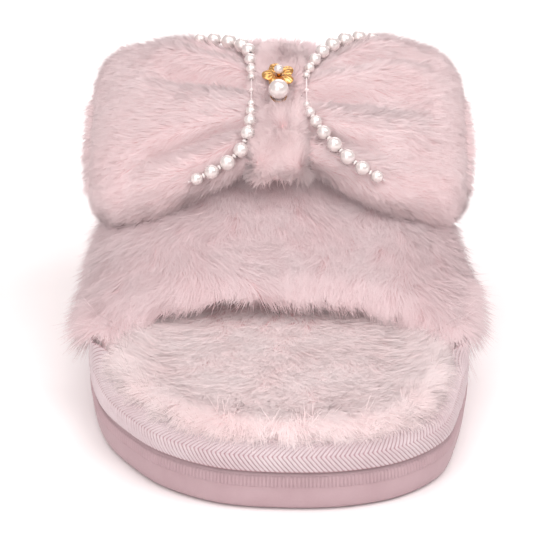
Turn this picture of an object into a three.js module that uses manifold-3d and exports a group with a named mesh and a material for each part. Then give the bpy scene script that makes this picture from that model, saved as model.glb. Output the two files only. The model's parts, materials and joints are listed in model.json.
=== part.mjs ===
// Fluffy open-toe house slipper for the right foot, with a plush bow on its strap.
// Millimetres, +Z up. The toe points to -Y, the heel to +Y and the big-toe side is +X.
//
// From the floor up: a moulded outsole, a foam midsole, the insole board, a foam footbed and its
// fur cover, with a binding tape round the edge. The strap is three nested layers, turned in
// under the insole board. The bow sits on the strap's slope: a knot band round a core, two
// stuffed loops that lift like flaps, a pearl string along each loop and a brooch on the knot.
import * as THREE from 'three';
import { mergeVertices } from 'three/addons/utils/BufferGeometryUtils.js';
import Module from 'manifold-3d';

const wasm = await Module();
wasm.setup();

// ---- driving dimensions ---------------------------------------------------------------------
const SOLE_LENGTH = 250;
const BALL_WIDTH = 104;
const OUTLINE_STEPS = 58;
const GAP = 0.3;

const OUTSOLE_TOP = 11.2;
const OUTSOLE_FLOOR = 4.6;
const RIM_WIDTH = 7;
const MIDSOLE_THICK = 1.3;
const MARGIN_THICK = 1.0;
const BOARD_THICK = 1.0;
const FOAM_THICK = 3.0;
const FUR_THICK = 5.2;

const TREAD_DEPTH = 1.6;
const TREAD_WIDTH = 3;
const TREAD_PITCH = 12;

const TAPE_THICK = 1.1;
const TAPE_RISE = 2.5;
const TAPE_BEND = 1.3;
const TAPE_FLANGE = 4.9;

// the strap: where its edges lie behind the toe tip, as parts of the sole length
const STRAP_FRONT_SIDE = 0.24;
const STRAP_FRONT_CREST = 0.28;
const STRAP_REAR_SIDE = 0.552;
const STRAP_REAR_CREST = 0.6;
const STRAP_CREST_FRONT = 39;
const STRAP_CREST_MID = 59.5;
const STRAP_CREST_REAR = 74;
const STRAP_WALL_TOP = 23.5;
const STRAP_ARCH_BASE = 26;
const STRAP_POWER = 2.4;
const STRAP_WALL_INSET = 1.75;
const STRAP_ARCH_INSET = 0.3;
const SHELL_THICK = 3.5;
const INTERLINING_THICK = 2.2;
const LINING_THICK = 1.2;
const LAYER_GAP = 0.45;
const MARGIN_REACH = 12;
const STRAP_TURN = 11;
const ARCH_ARCS = 22;
const ARCH_STEPS = 8;
const INTERLINING_DEPTH = SHELL_THICK + LAYER_GAP;
const LINING_DEPTH = INTERLINING_DEPTH + INTERLINING_THICK + LAYER_GAP;
// The foam and its fur stay clear of the lining's inner face.
const FOOTBED_CLEAR = 0.65;
const FOOTBED_INSET = STRAP_WALL_INSET + LINING_DEPTH + LINING_THICK + FOOTBED_CLEAR;

// the bow, in its own frame: x across, v down the slope towards the toe, n out of the slope
const BOW_PLACE = 0.444;
const BOW_HALF_SPAN = 53.5;
const BOW_HALF_DEPTH = 30;
const NECK_HALF_DEPTH = 20;
const LOOP_HALF_THICK = 13.5;
const NECK_HALF_THICK = 6.5;
const LOOP_DROOP = 14;
const LOOP_POWER = 2.3;
const COVER_THICK = 3;
const KNOT_HALF_WIDTH = 5.6;
const KNOT_FLARE = 1.6;
const KNOT_HALF_DEPTH = 26;
const KNOT_HALF_THICK = 8;
const BAND_THICK = 3.5;
const KNOT_POWER = 2.6;
const PAD_THICK = 2;

const PEARL_SIZES = [3.4, 4.1, 4.4, 4.3, 4.0, 3.5, 2.9, 2.2];
const PEARL_SPACE = 0.6;
const PEARL_HOLE = 0.6;
const THREAD_RADIUS = 0.22;
const FLOWER_RADIUS = 4.7;
const BROOCH_PEARL_RADIUS = 2.8;
const POST_RADIUS = 0.6;

// ---- materials ------------------------------------------------------------------------------
function material(hex, roughness, metalness = 0) {
  return new THREE.MeshStandardMaterial({ color: hex, roughness, metalness });
}
const PINK_FUR = material('#e8d0d3', 0.95);
const PINK_PLUSH = material('#ebd5d8', 0.92);
const PINK_LINING = material('#e2c6ca', 0.9);
const PINK_RUBBER = material('#cdacb1', 0.55);
const PINK_TAPE = material('#dcc6c9', 0.85);
const WHITE_FOAM = material('#efe9e4', 0.9);
const GREY_BOARD = material('#b9b2a6', 0.85);
const WHITE_FILL = material('#f6f4f1', 0.95);
const PEARL_WHITE = material('#f1eeee', 0.25);
const THREAD_WHITE = material('#ece6e6', 0.7);
const GOLD = material('#d9a765', 0.25, 1);

// ---- closed bodies from rows of points ------------------------------------------------------
// Each helper adds faces over shared points; a body is turned outward by its signed volume.
class Body {
  constructor() {
    this.points = [];
    this.faces = [];
  }

  row(points) {
    return points.map((p) => this.points.push(p.clone()) - 1);
  }

  // Quads between two rows. An inward skin keeps the same diagonals, so nested skins match.
  strip(lower, upper, closed, inward = false) {
    const count = lower.length;
    const last = closed ? count : count - 1;
    for (let i = 0; i < last; i++) {
      const j = (i + 1) % count;
      const [a, b, c, d] = [lower[i], lower[j], upper[j], upper[i]];
      if (inward) this.faces.push(a, c, b, a, d, c);
      else this.faces.push(a, b, c, a, c, d);
    }
  }

  fan(row, outward) {
    const middle = new THREE.Vector3();
    for (const i of row) middle.addScaledVector(this.points[i], 1 / row.length);
    const hub = this.points.push(middle) - 1;
    for (let i = 0; i < row.length; i++) {
      const j = (i + 1) % row.length;
      if (outward) this.faces.push(row[i], row[j], hub);
      else this.faces.push(row[j], row[i], hub);
    }
  }

  geometry() {
    const geometry = new THREE.BufferGeometry();
    const flat = this.points.flatMap((p) => [p.x, p.y, p.z]);
    geometry.setAttribute('position', new THREE.Float32BufferAttribute(flat, 3));
    geometry.setIndex(this.faces);
    return turnedOutward(mergeVertices(geometry, 1e-4));
  }
}

function signedVolume(geometry) {
  const at = geometry.attributes.position;
  const index = geometry.index.array;
  const a = new THREE.Vector3();
  const b = new THREE.Vector3();
  const c = new THREE.Vector3();
  let sum = 0;
  for (let i = 0; i < index.length; i += 3) {
    a.fromBufferAttribute(at, index[i]);
    b.fromBufferAttribute(at, index[i + 1]);
    c.fromBufferAttribute(at, index[i + 2]);
    sum += a.dot(b.cross(c)) / 6;
  }
  return sum;
}

function turnedOutward(geometry) {
  if (signedVolume(geometry) < 0) {
    const index = geometry.index.array;
    for (let i = 0; i < index.length; i += 3) {
      [index[i], index[i + 1]] = [index[i + 1], index[i]];
    }
  }
  return geometry;
}

// A body through closed rings, its first and last ring capped.
function loftedBody(rings) {
  const body = new Body();
  const rows = rings.map((ring) => body.row(ring));
  for (let i = 1; i < rows.length; i++) body.strip(rows[i - 1], rows[i], true);
  body.fan(rows[0], false);
  body.fan(rows[rows.length - 1], true);
  return body.geometry();
}

// A body through closed rings that follow each other round a closed path.
function ringBody(rings) {
  const body = new Body();
  const rows = rings.map((ring) => body.row(ring));
  for (let i = 0; i < rows.length; i++) {
    body.strip(rows[i], rows[(i + 1) % rows.length], true);
  }
  return body.geometry();
}

// A layer between two open grids of points of the same size.
function layerBody(outer, inner) {
  const body = new Body();
  const out = outer.map((row) => body.row(row));
  const back = inner.map((row) => body.row(row));
  for (let i = 1; i < out.length; i++) {
    body.strip(out[i - 1], out[i], false);
    body.strip(back[i - 1], back[i], false, true);
  }
  const end = out.length - 1;
  body.strip(back[0], out[0], false);
  body.strip(out[end], back[end], false);
  body.strip(out.map((row) => row[0]), back.map((row) => row[0]), false);
  body.strip(back.map((row) => row[row.length - 1]), out.map((row) => row[row.length - 1]), false);
  return body.geometry();
}

// A cup: an outer and an inner skin of closed rings, joined round their first rings.
function cupBody(outer, inner) {
  const body = new Body();
  const out = outer.map((ring) => body.row(ring));
  const back = inner.map((ring) => body.row(ring));
  for (let i = 1; i < out.length; i++) {
    body.strip(out[i - 1], out[i], true);
    body.strip(back[i - 1], back[i], true, true);
  }
  body.strip(back[0], out[0], true);
  body.fan(out[out.length - 1], true);
  body.fan(back[back.length - 1], false);
  return body.geometry();
}

// ---- booleans -------------------------------------------------------------------------------
function toManifold(geometry) {
  const bare = geometry.clone();
  bare.deleteAttribute('normal');
  bare.deleteAttribute('uv');
  const merged = mergeVertices(bare, 1e-4);
  return new wasm.Manifold(new wasm.Mesh({
    numProp: 3,
    vertProperties: new Float32Array(merged.attributes.position.array),
    triVerts: new Uint32Array(merged.index.array),
  }));
}

function cutBy(geometry, cutters) {
  let solid = toManifold(geometry);
  for (const cutter of cutters) solid = solid.subtract(toManifold(cutter));
  const mesh = solid.getMesh();
  const cut = new THREE.BufferGeometry();
  cut.setAttribute('position', new THREE.Float32BufferAttribute(mesh.vertProperties, 3));
  cut.setIndex(Array.from(mesh.triVerts));
  return cut;
}

const group = new THREE.Group();

function addNode(name, geometry, paint) {
  const mesh = new THREE.Mesh(geometry, paint);
  mesh.name = name;
  group.add(mesh);
  return mesh;
}

// ---- the sole outline -----------------------------------------------------------------------
// x and distance behind the toe tip. The big-toe side is fuller, the other rounds back earlier.
const OUTLINE = [
  [3, 0], [18.5, 1.2], [32, 6.6], [42.7, 17.8], [47.2, 33], [51, 58], [51.5, 80], [46.5, 115],
  [41.5, 150], [39.5, 190], [37.5, 220], [25, 244], [0, 250], [-25, 244], [-38, 220],
  [-40.5, 188], [-44, 150], [-49, 112], [-52, 82], [-50.5, 54], [-46.5, 36], [-39.8, 23.2],
  [-30.9, 11.9], [-16, 2.8],
];

function soleOutline() {
  const knots = OUTLINE.map(([x, d]) => new THREE.Vector3(x, d, 0));
  const curve = new THREE.CatmullRomCurve3(knots, true, 'centripetal');
  const points = curve.getSpacedPoints(OUTLINE_STEPS).slice(0, -1);
  const box = new THREE.Box3().setFromPoints(points);
  const size = box.getSize(new THREE.Vector3());
  const middle = box.getCenter(new THREE.Vector3());
  return points.map((p) => new THREE.Vector3(
    ((p.x - middle.x) * BALL_WIDTH) / size.x,
    ((p.y - middle.y) * SOLE_LENGTH) / size.y,
    0,
  ));
}
const outline = soleOutline();

const outlineNormals = outline.map((_, i) => {
  const before = outline[(i + OUTLINE_STEPS - 1) % OUTLINE_STEPS];
  const after = outline[(i + 1) % OUTLINE_STEPS];
  const along = after.clone().sub(before).normalize();
  return new THREE.Vector3(along.y, -along.x, 0);
});

function insetPoint(i, inset, z) {
  const p = outline[i].clone().addScaledVector(outlineNormals[i], -inset);
  return p.setZ(z);
}

function insetRing(inset, z) {
  return outline.map((_, i) => insetPoint(i, typeof inset === 'function' ? inset(i) : inset, z));
}

// Distance from the middle line to the sole's edge at a given y, on one side.
function halfWidth(y, side) {
  for (let i = 0; i < OUTLINE_STEPS; i++) {
    const a = outline[i];
    const b = outline[(i + 1) % OUTLINE_STEPS];
    const crosses = (a.y - y) * (b.y - y) <= 0 && a.y !== b.y;
    if (crosses && (a.x + b.x) * side > 0) {
      return side * (a.x + ((b.x - a.x) * (y - a.y)) / (b.y - a.y));
    }
  }
  return 0;
}

function behindToe(part) {
  return SOLE_LENGTH * (part - 0.5);
}

// 1 beside the strap, 0 along the open toe and heel, with a soft change between.
function strapBeside(y) {
  const front = behindToe(STRAP_FRONT_SIDE);
  const rear = behindToe(STRAP_REAR_SIDE);
  const rise = THREE.MathUtils.smoothstep(y, front - 2 * STRAP_TURN, front - STRAP_TURN);
  return rise * (1 - THREE.MathUtils.smoothstep(y, rear + STRAP_TURN, rear + 2 * STRAP_TURN));
}

// ---- sole and footbed -----------------------------------------------------------------------
const MIDSOLE_Z = OUTSOLE_TOP + GAP;
const MARGIN_Z = MIDSOLE_Z + MIDSOLE_THICK + GAP;
const BOARD_Z = MARGIN_Z + MARGIN_THICK + GAP;
const FOAM_Z = BOARD_Z + BOARD_THICK + GAP;
const FUR_Z = FOAM_Z + FOAM_THICK + GAP;

function treadCutters() {
  const cutters = [];
  const reach = SOLE_LENGTH / 2 - 20;
  for (let y = -reach; y <= reach; y += TREAD_PITCH) {
    const left = halfWidth(y, -1) - 9;
    const right = halfWidth(y, 1) - 9;
    const bar = new THREE.BoxGeometry(left + right, TREAD_WIDTH, 2 * TREAD_DEPTH);
    bar.translate((right - left) / 2, y, 0);
    cutters.push(bar);
  }
  return cutters;
}

// The outsole is a tray: a floor with a rim, and the midsole's plug fills it.
function outsole() {
  const wall = [
    [2.6, 0], [1.2, 0.7], [0.4, 2.2], [0, 5], [0.2, 8.6], [0.9, OUTSOLE_TOP],
    [RIM_WIDTH, OUTSOLE_TOP], [RIM_WIDTH, OUTSOLE_FLOOR],
  ];
  return cutBy(loftedBody(wall.map(([inset, z]) => insetRing(inset, z))), treadCutters());
}

function midsole() {
  const inset = TAPE_THICK + GAP + 0.1;
  return loftedBody([
    insetRing(RIM_WIDTH + GAP, OUTSOLE_FLOOR + GAP),
    insetRing(RIM_WIDTH + GAP, MIDSOLE_Z),
    insetRing(inset, MIDSOLE_Z),
    insetRing(inset, MIDSOLE_Z + MIDSOLE_THICK),
  ]);
}

// The felt that fills the hollow between the strap's turned-in margins.
function bottomFiller() {
  const inset = (i) => 3 + (MARGIN_REACH + 4 * GAP - 3) * strapBeside(outline[i].y);
  return loftedBody([insetRing(inset, MARGIN_Z), insetRing(inset, MARGIN_Z + MARGIN_THICK)]);
}

function insoleBoard() {
  const beside = STRAP_WALL_INSET + SHELL_THICK + 2 * GAP;
  const inset = (i) => 3 + (beside - 3) * strapBeside(outline[i].y);
  return loftedBody([insetRing(inset, BOARD_Z), insetRing(inset, BOARD_Z + BOARD_THICK)]);
}

// Rings drawn in from an outline towards the middle line of the sole, for a crowned top.
function crownRing(inset, share, z) {
  const reach = SOLE_LENGTH * 0.3;
  return outline.map((_, i) => {
    const edge = insetPoint(i, inset, z);
    const y = THREE.MathUtils.clamp(edge.y, -reach, reach);
    return edge.lerp(new THREE.Vector3(0, y, z), share);
  });
}

function footbedFoam() {
  const top = FOAM_Z + FOAM_THICK;
  return loftedBody([
    insetRing(FOOTBED_INSET + 0.6, FOAM_Z),
    insetRing(FOOTBED_INSET, FOAM_Z + 1),
    insetRing(FOOTBED_INSET + 0.8, top - 0.4),
    crownRing(FOOTBED_INSET + 0.8, 0.12, top),
    crownRing(FOOTBED_INSET + 0.8, 0.6, top),
  ]);
}

function footbedFur() {
  const top = FUR_Z + FUR_THICK;
  return loftedBody([
    crownRing(FOOTBED_INSET + 0.8, 0.12, FUR_Z),
    insetRing(FOOTBED_INSET + 0.2, FUR_Z + 0.6),
    insetRing(FOOTBED_INSET + 0.6, FUR_Z + 2.6),
    crownRing(FOOTBED_INSET + 0.6, 0.1, top - 1),
    crownRing(FOOTBED_INSET + 0.6, 0.3, top - 0.2),
    crownRing(FOOTBED_INSET + 0.6, 0.7, top),
  ]);
}

// The tape covers the midsole's edge. It rolls over the board along the open toe and heel and
// stands up against the strap beside it.
function edgeTape() {
  const rings = outline.map((_, i) => {
    const stand = strapBeside(outline[i].y);
    const end = THREE.MathUtils.degToRad(3 + 85 * stand);
    const path = [];
    let inset = 0;
    let z = MIDSOLE_Z;
    const step = (length, angle) => {
      path.push([inset, z, angle]);
      inset += length * Math.cos(angle);
      z += length * Math.sin(angle);
    };
    const up = Math.PI / 2;
    step(TAPE_RISE, up);
    for (let k = 1; k <= 3; k++) step(TAPE_BEND, up + ((end - up) * k) / 4);
    step(TAPE_FLANGE, end);
    path.push([inset, z, end]);
    const outer = path.map(([e, h]) => insetPoint(i, e, h));
    const inner = path.map(([e, h, angle]) => insetPoint(
      i,
      e + TAPE_THICK * Math.sin(angle),
      h - TAPE_THICK * Math.cos(angle),
    ));
    return outer.concat(inner.reverse());
  });
  return ringBody(rings);
}

// ---- strap ----------------------------------------------------------------------------------
// Height of the strap's outer skin along its crest: a parabola through three heights.
function crestHeight(y) {
  const front = behindToe(STRAP_FRONT_CREST);
  const rear = behindToe(STRAP_REAR_CREST);
  const t = (y - front) / (rear - front);
  const bend = 2 * (STRAP_CREST_FRONT + STRAP_CREST_REAR - 2 * STRAP_CREST_MID);
  const slope = STRAP_CREST_REAR - STRAP_CREST_FRONT - bend;
  return STRAP_CREST_FRONT + slope * t + bend * t * t;
}

function skinHeight(x, y) {
  const side = x < 0 ? -1 : 1;
  const wide = halfWidth(y, side) - STRAP_ARCH_INSET;
  const out = Math.min(Math.abs(x) / wide, 1);
  const rise = crestHeight(y) - STRAP_ARCH_BASE;
  return STRAP_ARCH_BASE + rise * Math.pow(1 - Math.pow(out, STRAP_POWER), 1 / STRAP_POWER);
}

// y of a strap point: share runs from the front edge to the rear edge, lift from side to crest.
function strapY(lift, share) {
  const front = THREE.MathUtils.lerp(STRAP_FRONT_SIDE, STRAP_FRONT_CREST, lift);
  const rear = THREE.MathUtils.lerp(STRAP_REAR_SIDE, STRAP_REAR_CREST, lift);
  return behindToe(THREE.MathUtils.lerp(front, rear, share));
}

// One line over the arch at a depth below the outer skin, from the left foot to the right.
function archLine(depth, share, foot) {
  const line = [];
  const low = (side) => foot.map(([inset, z]) => {
    const y = strapY(0, share);
    return new THREE.Vector3(side * (halfWidth(y, side) - inset), y, z);
  });
  line.push(...low(-1));
  for (let k = 0; k <= ARCH_ARCS; k++) {
    const angle = (Math.PI * k) / ARCH_ARCS;
    const side = angle < Math.PI / 2 ? -1 : 1;
    const lift = Math.pow(Math.abs(Math.sin(angle)), 1.2);
    const y = strapY(lift, share);
    const wide = halfWidth(y, side) - STRAP_ARCH_INSET - depth;
    const rise = crestHeight(y) - depth - STRAP_ARCH_BASE;
    const out = Math.pow(Math.abs(Math.cos(angle)), 2 / STRAP_POWER);
    const up = Math.pow(Math.abs(Math.sin(angle)), 2 / STRAP_POWER);
    line.push(new THREE.Vector3(side * wide * out, y, STRAP_ARCH_BASE + rise * up));
  }
  line.push(...low(1).reverse());
  return line;
}

function archGrid(depth, foot) {
  const grid = [];
  for (let k = 0; k <= ARCH_STEPS; k++) grid.push(archLine(depth, k / ARCH_STEPS, foot));
  return grid;
}

// The shell's feet turn in under the insole board as lasting margins.
function strapShell() {
  const outerFoot = [
    [MARGIN_REACH, MARGIN_Z],
    [STRAP_WALL_INSET + 0.8, MARGIN_Z],
    [STRAP_WALL_INSET, MARGIN_Z + 1],
    [STRAP_WALL_INSET, STRAP_WALL_TOP],
  ];
  const inner = STRAP_WALL_INSET + SHELL_THICK;
  const innerFoot = [
    [MARGIN_REACH, MARGIN_Z + MARGIN_THICK],
    [inner + 0.2, MARGIN_Z + MARGIN_THICK],
    [inner, MARGIN_Z + MARGIN_THICK + 0.4],
    [inner, STRAP_WALL_TOP],
  ];
  return layerBody(archGrid(0, outerFoot), archGrid(SHELL_THICK, innerFoot));
}

function innerLayer(near, far) {
  const foot = (depth) => [
    [STRAP_WALL_INSET + depth, BOARD_Z + BOARD_THICK + GAP],
    [STRAP_WALL_INSET + depth, STRAP_WALL_TOP],
  ];
  return layerBody(archGrid(near, foot(near)), archGrid(far, foot(far)));
}

// ---- bow frame ------------------------------------------------------------------------------
const bowY = behindToe(BOW_PLACE);
const bowTilt = Math.atan((crestHeight(bowY + 1) - crestHeight(bowY - 1)) / 2);
const standOff = KNOT_HALF_THICK + PAD_THICK + 2 * GAP;
const bowDown = new THREE.Vector3(0, -Math.cos(bowTilt), -Math.sin(bowTilt));
const bowOut = new THREE.Vector3(0, -Math.sin(bowTilt), Math.cos(bowTilt));
const bowCentre = new THREE.Vector3(0, bowY, crestHeight(bowY)).addScaledVector(bowOut, standOff);

function bowPoint(x, v, n) {
  const p = bowCentre.clone().addScaledVector(bowDown, v).addScaledVector(bowOut, n);
  p.x += x;
  return p;
}

function knotHalfWidth(v) {
  return KNOT_HALF_WIDTH + KNOT_FLARE * (v / KNOT_HALF_DEPTH) ** 2;
}

function oval(angle, half, thick, power) {
  const c = Math.cos(angle);
  const s = Math.sin(angle);
  return [
    half * Math.sign(c) * Math.abs(c) ** (2 / power),
    thick * Math.sign(s) * Math.abs(s) ** (2 / power),
  ];
}

// ---- knot -----------------------------------------------------------------------------------
const POST_V = -4.2;
const TACK_V = [-11, 11];

function rodAt(x, v, radius, from, to, sides = 12) {
  const rod = new THREE.CylinderGeometry(radius, radius, to - from, sides);
  return placedOut(rod, x, v, (from + to) / 2);
}

// Turns a shape made along +Y so that it stands out of the bow's slope at a given place.
function placedOut(geometry, x, v, n) {
  const turn = new THREE.Quaternion().setFromUnitVectors(new THREE.Vector3(0, 1, 0), bowOut);
  const at = bowPoint(x, v, n);
  return geometry.applyQuaternion(turn).translate(at.x, at.y, at.z);
}

function knotBand() {
  const rings = [];
  const steps = 32;
  for (let k = 0; k < steps; k++) {
    const angle = (2 * Math.PI * k) / steps;
    const skin = (depth) => oval(
      angle, KNOT_HALF_DEPTH - depth, KNOT_HALF_THICK - depth, KNOT_POWER,
    );
    const wide = knotHalfWidth(skin(0)[0]);
    const section = [
      [-wide, BAND_THICK], [-wide, 1.2], [-0.6 * wide, 0],
      [0.6 * wide, 0], [wide, 1.2], [wide, BAND_THICK],
    ];
    rings.push(section.map(([x, depth]) => bowPoint(x, ...skin(depth))));
  }
  const holes = [rodAt(0, POST_V, POST_RADIUS + GAP, 0, KNOT_HALF_THICK + 3)];
  for (const v of TACK_V) holes.push(rodAt(0, v, TACK_RADIUS + GAP, -KNOT_HALF_THICK - 3, 0));
  return cutBy(ringBody(rings), holes);
}

const TACK_RADIUS = 0.6;
const TACK_HEAD = 1.4;
const CORE_HALF_WIDTH = KNOT_HALF_WIDTH - 0.4;
const CORE_HALF_THICK = KNOT_HALF_THICK - BAND_THICK - GAP;
const CLUTCH_RADIUS = 2.3;

// The gathered middle of the bow, inside the knot band.
function knotCore() {
  const ring = (x, trim) => {
    const points = [];
    for (let k = 0; k < 28; k++) {
      const half = KNOT_HALF_DEPTH - BAND_THICK - GAP - trim;
      const angle = (2 * Math.PI * k) / 28;
      points.push(bowPoint(x, ...oval(angle, half, CORE_HALF_THICK - trim, KNOT_POWER)));
    }
    return points;
  };
  const wide = CORE_HALF_WIDTH;
  const blank = loftedBody([
    ring(-wide, 0.6), ring(-wide + 0.8, 0), ring(wide - 0.8, 0), ring(wide, 0.6),
  ]);
  const pockets = [rodAt(0, POST_V, CLUTCH_RADIUS + GAP, 0.6, CORE_HALF_THICK + 2, 16)];
  for (const v of TACK_V) pockets.push(rodAt(0, v, TACK_HEAD + GAP, -CORE_HALF_THICK - 2, -1));
  return cutBy(blank, pockets);
}

// The felt pad between knot and strap; its underside follows the strap's skin.
function bowPad() {
  const ring = (share, n) => {
    const points = [];
    for (let k = 0; k < 28; k++) {
      const angle = (2 * Math.PI * k) / 28;
      const x = 8.6 * share * Math.cos(angle);
      const v = 17 * share * Math.sin(angle);
      const p = bowPoint(x, v, n);
      if (n < -KNOT_HALF_THICK - 1) p.z = skinHeight(p.x, p.y) + GAP + 0.1;
      points.push(p);
    }
    return points;
  };
  const top = -KNOT_HALF_THICK - GAP;
  const low = top - PAD_THICK;
  const blank = loftedBody([ring(0.3, low), ring(0.65, low), ring(1, low), ring(1, top)]);
  const holes = TACK_V.map((v) => rodAt(0, v, TACK_RADIUS + GAP, -20, 0));
  return cutBy(blank, holes);
}

// A tack: a drawn stitch with a knot at each end, from the core through to the interlining.
const TACK_TOP = -1.4;
const TACK_END = -(standOff + SHELL_THICK + 2 * GAP + 1);
function tackStitch(v) {
  const head = TACK_HEAD;
  const profile = [
    [0, TACK_TOP], [head, TACK_TOP], [head, TACK_TOP - 1.4], [TACK_RADIUS, TACK_TOP - 1.7],
    [TACK_RADIUS, TACK_END + 0.4], [head, TACK_END], [head, TACK_END - 0.7], [0, TACK_END - 0.7],
  ];
  const rod = new THREE.LatheGeometry(profile.map(([r, n]) => new THREE.Vector2(r, n)), 10);
  return placedOut(solidLathe(rod), 0, v, 0);
}

// A lathe shape as one closed body, its seam and its axis points merged.
function solidLathe(lathe) {
  lathe.deleteAttribute('normal');
  lathe.deleteAttribute('uv');
  const merged = mergeVertices(lathe, 1e-4);
  const index = merged.index.array;
  const kept = [];
  for (let i = 0; i < index.length; i += 3) {
    const [a, b, c] = [index[i], index[i + 1], index[i + 2]];
    if (a !== b && b !== c && c !== a) kept.push(a, b, c);
  }
  merged.setIndex(kept);
  return turnedOutward(merged);
}

function tackHoles(radius) {
  return TACK_V.map((v) => rodAt(0, v, radius, TACK_END - 8, -KNOT_HALF_THICK - 1));
}

// ---- loops ----------------------------------------------------------------------------------
// Half depth, half thickness and droop of a loop; s runs from its neck to its outer end.
function loopSize(s) {
  const grow = (part) => Math.sin((Math.min(s / part, 1) * Math.PI) / 2);
  let half = NECK_HALF_DEPTH + (BOW_HALF_DEPTH - NECK_HALF_DEPTH) * grow(0.6);
  let thick = NECK_HALF_THICK + (LOOP_HALF_THICK - NECK_HALF_THICK) * grow(0.75);
  const past = Math.max(0, (s - 0.78) / 0.22);
  const round = Math.sqrt(Math.max(0, 1 - past * past));
  half *= 1 - 0.36 * (1 - round);
  thick *= 0.35 + 0.65 * round;
  return [half, thick, -LOOP_DROOP * Math.max(s, 0) ** 1.1];
}

function loopStart(v) {
  return knotHalfWidth(THREE.MathUtils.clamp(v, -KNOT_HALF_DEPTH, KNOT_HALF_DEPTH)) + 0.5;
}

const LOOP_STATIONS = [0, 0.12, 0.28, 0.45, 0.62, 0.78, 0.89, 0.96, 1];
const LOOP_SIDES = 22;

// One ring of a loop, depth below its outer skin. Its underside rests on the strap.
function loopRing(side, s, depth) {
  const [half, thick, droop] = loopSize(s);
  const reach = (BOW_HALF_SPAN - depth) / BOW_HALF_SPAN;
  const ring = [];
  for (let k = 0; k < LOOP_SIDES; k++) {
    const angle = (2 * Math.PI * k) / LOOP_SIDES;
    const [v, n] = oval(angle, half - depth, thick - depth, LOOP_POWER);
    const from = loopStart(v);
    const x = from + s * (BOW_HALF_SPAN * reach - from);
    const p = bowPoint(side * x, v, droop + n);
    p.z = Math.max(p.z, skinHeight(p.x, p.y) + 3 * GAP + 1.15 * depth);
    ring.push(p);
  }
  return ring;
}

function loopCover(side) {
  const skin = (depth) => LOOP_STATIONS.map((s) => loopRing(side, s, depth));
  return cupBody(skin(0), skin(COVER_THICK));
}

function loopStuffing(side) {
  return loftedBody(LOOP_STATIONS.map((s) => loopRing(side, s, COVER_THICK + 2 * GAP)));
}

// Height of a loop's upper skin over a place in the bow's plane, x measured outwards.
function loopSkin(x, v) {
  const from = loopStart(v);
  const s = (x - from) / (BOW_HALF_SPAN - from);
  if (s < 0 || s > 1) return -Infinity;
  const [half, thick, droop] = loopSize(s);
  const out = Math.abs(v) / half;
  if (out >= 1) return -Infinity;
  return droop + thick * (1 - out ** LOOP_POWER) ** (1 / LOOP_POWER);
}

function knotSkin(x, v) {
  const out = Math.abs(v) / KNOT_HALF_DEPTH;
  if (out >= 1 || Math.abs(x) > knotHalfWidth(v)) return -Infinity;
  return KNOT_HALF_THICK * (1 - out ** KNOT_POWER) ** (1 / KNOT_POWER);
}

// ---- pearl strings --------------------------------------------------------------------------
// Each string runs along its loop's edge: x outwards from the knot's side and v, from the front
// end to the waist. It goes on to the rear as a mirror image.
const WAIST_OFF_KNOT = 2;
const STRING_PATH = {
  left: [
    [19.4, 28.6], [13.9, 26.8], [7.2, 23.2], [3.6, 19], [2.4, 13], [WAIST_OFF_KNOT, 7],
    [WAIST_OFF_KNOT, 0],
  ],
  right: [
    [23.9, 28.4], [18.9, 26.8], [12.9, 23], [7.8, 17.6], [4.2, 11.5], [2.2, 6],
    [WAIST_OFF_KNOT, 0],
  ],
};

// The height at which a pearl comes to rest when it is laid on loop and knot.
function restHeight(x, v, radius) {
  const reach = radius + GAP;
  let height = -Infinity;
  for (const share of [0, 0.35, 0.65, 0.85, 0.97]) {
    for (let k = 0; k < 12; k++) {
      const angle = (2 * Math.PI * k) / 12;
      const px = x + share * reach * Math.cos(angle);
      const pv = v + share * reach * Math.sin(angle);
      const skin = Math.max(loopSkin(px, pv), knotSkin(px, pv));
      height = Math.max(height, skin + reach * Math.sqrt(1 - share * share));
    }
  }
  return height;
}

// Places along the string: pearls from the front end towards the waist, then mirrored.
function stringPlaces(name) {
  const side = name === 'left' ? -1 : 1;
  const knots = STRING_PATH[name].map(
    ([x, v]) => new THREE.Vector3(KNOT_HALF_WIDTH + x, v, 0),
  );
  const plan = new THREE.CatmullRomCurve3(knots, false, 'centripetal');
  const length = plan.getLength();
  const half = [];
  let along = PEARL_SIZES[0] / 2 + 1;
  PEARL_SIZES.forEach((size, i) => {
    const at = plan.getPointAt(Math.min(along / length, 1));
    const n = restHeight(at.x, at.y, size / 2);
    half.push({ x: side * at.x, v: at.y, n, size });
    const next = PEARL_SIZES[i + 1] || 0;
    along += (size + next) / 2 + PEARL_SPACE;
  });
  const start = plan.getPointAt(0);
  const low = { x: side * (start.x + 1), v: start.y, n: restHeight(start.x, start.y, 0.8) - 0.3 };
  const beside = KNOT_HALF_WIDTH + WAIST_OFF_KNOT;
  const waist = { x: side * beside, v: 0, n: restHeight(beside, 0, 0.9) };
  const rear = half.map((p) => ({ ...p, v: -p.v }));
  return { side, low, half, waist, rear };
}

function stringCurve(places) {
  const row = [places.low, ...places.half, places.waist, ...places.rear.toReversed()];
  row.push({ ...places.low, v: -places.low.v });
  const points = row.map((p) => bowPoint(p.x, p.v, p.n));
  return new THREE.CatmullRomCurve3(points, false, 'centripetal');
}

// A pearl drilled through its middle, along +Y.
function pearl(size) {
  const radius = size / 2;
  const open = Math.asin(PEARL_HOLE / radius);
  const profile = [];
  for (let k = 0; k <= 5; k++) {
    const angle = open + ((Math.PI - 2 * open) * k) / 5;
    profile.push(new THREE.Vector2(radius * Math.sin(angle), radius * Math.cos(angle)));
  }
  profile.push(profile[0].clone());
  return solidLathe(new THREE.LatheGeometry(profile, 9));
}

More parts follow.
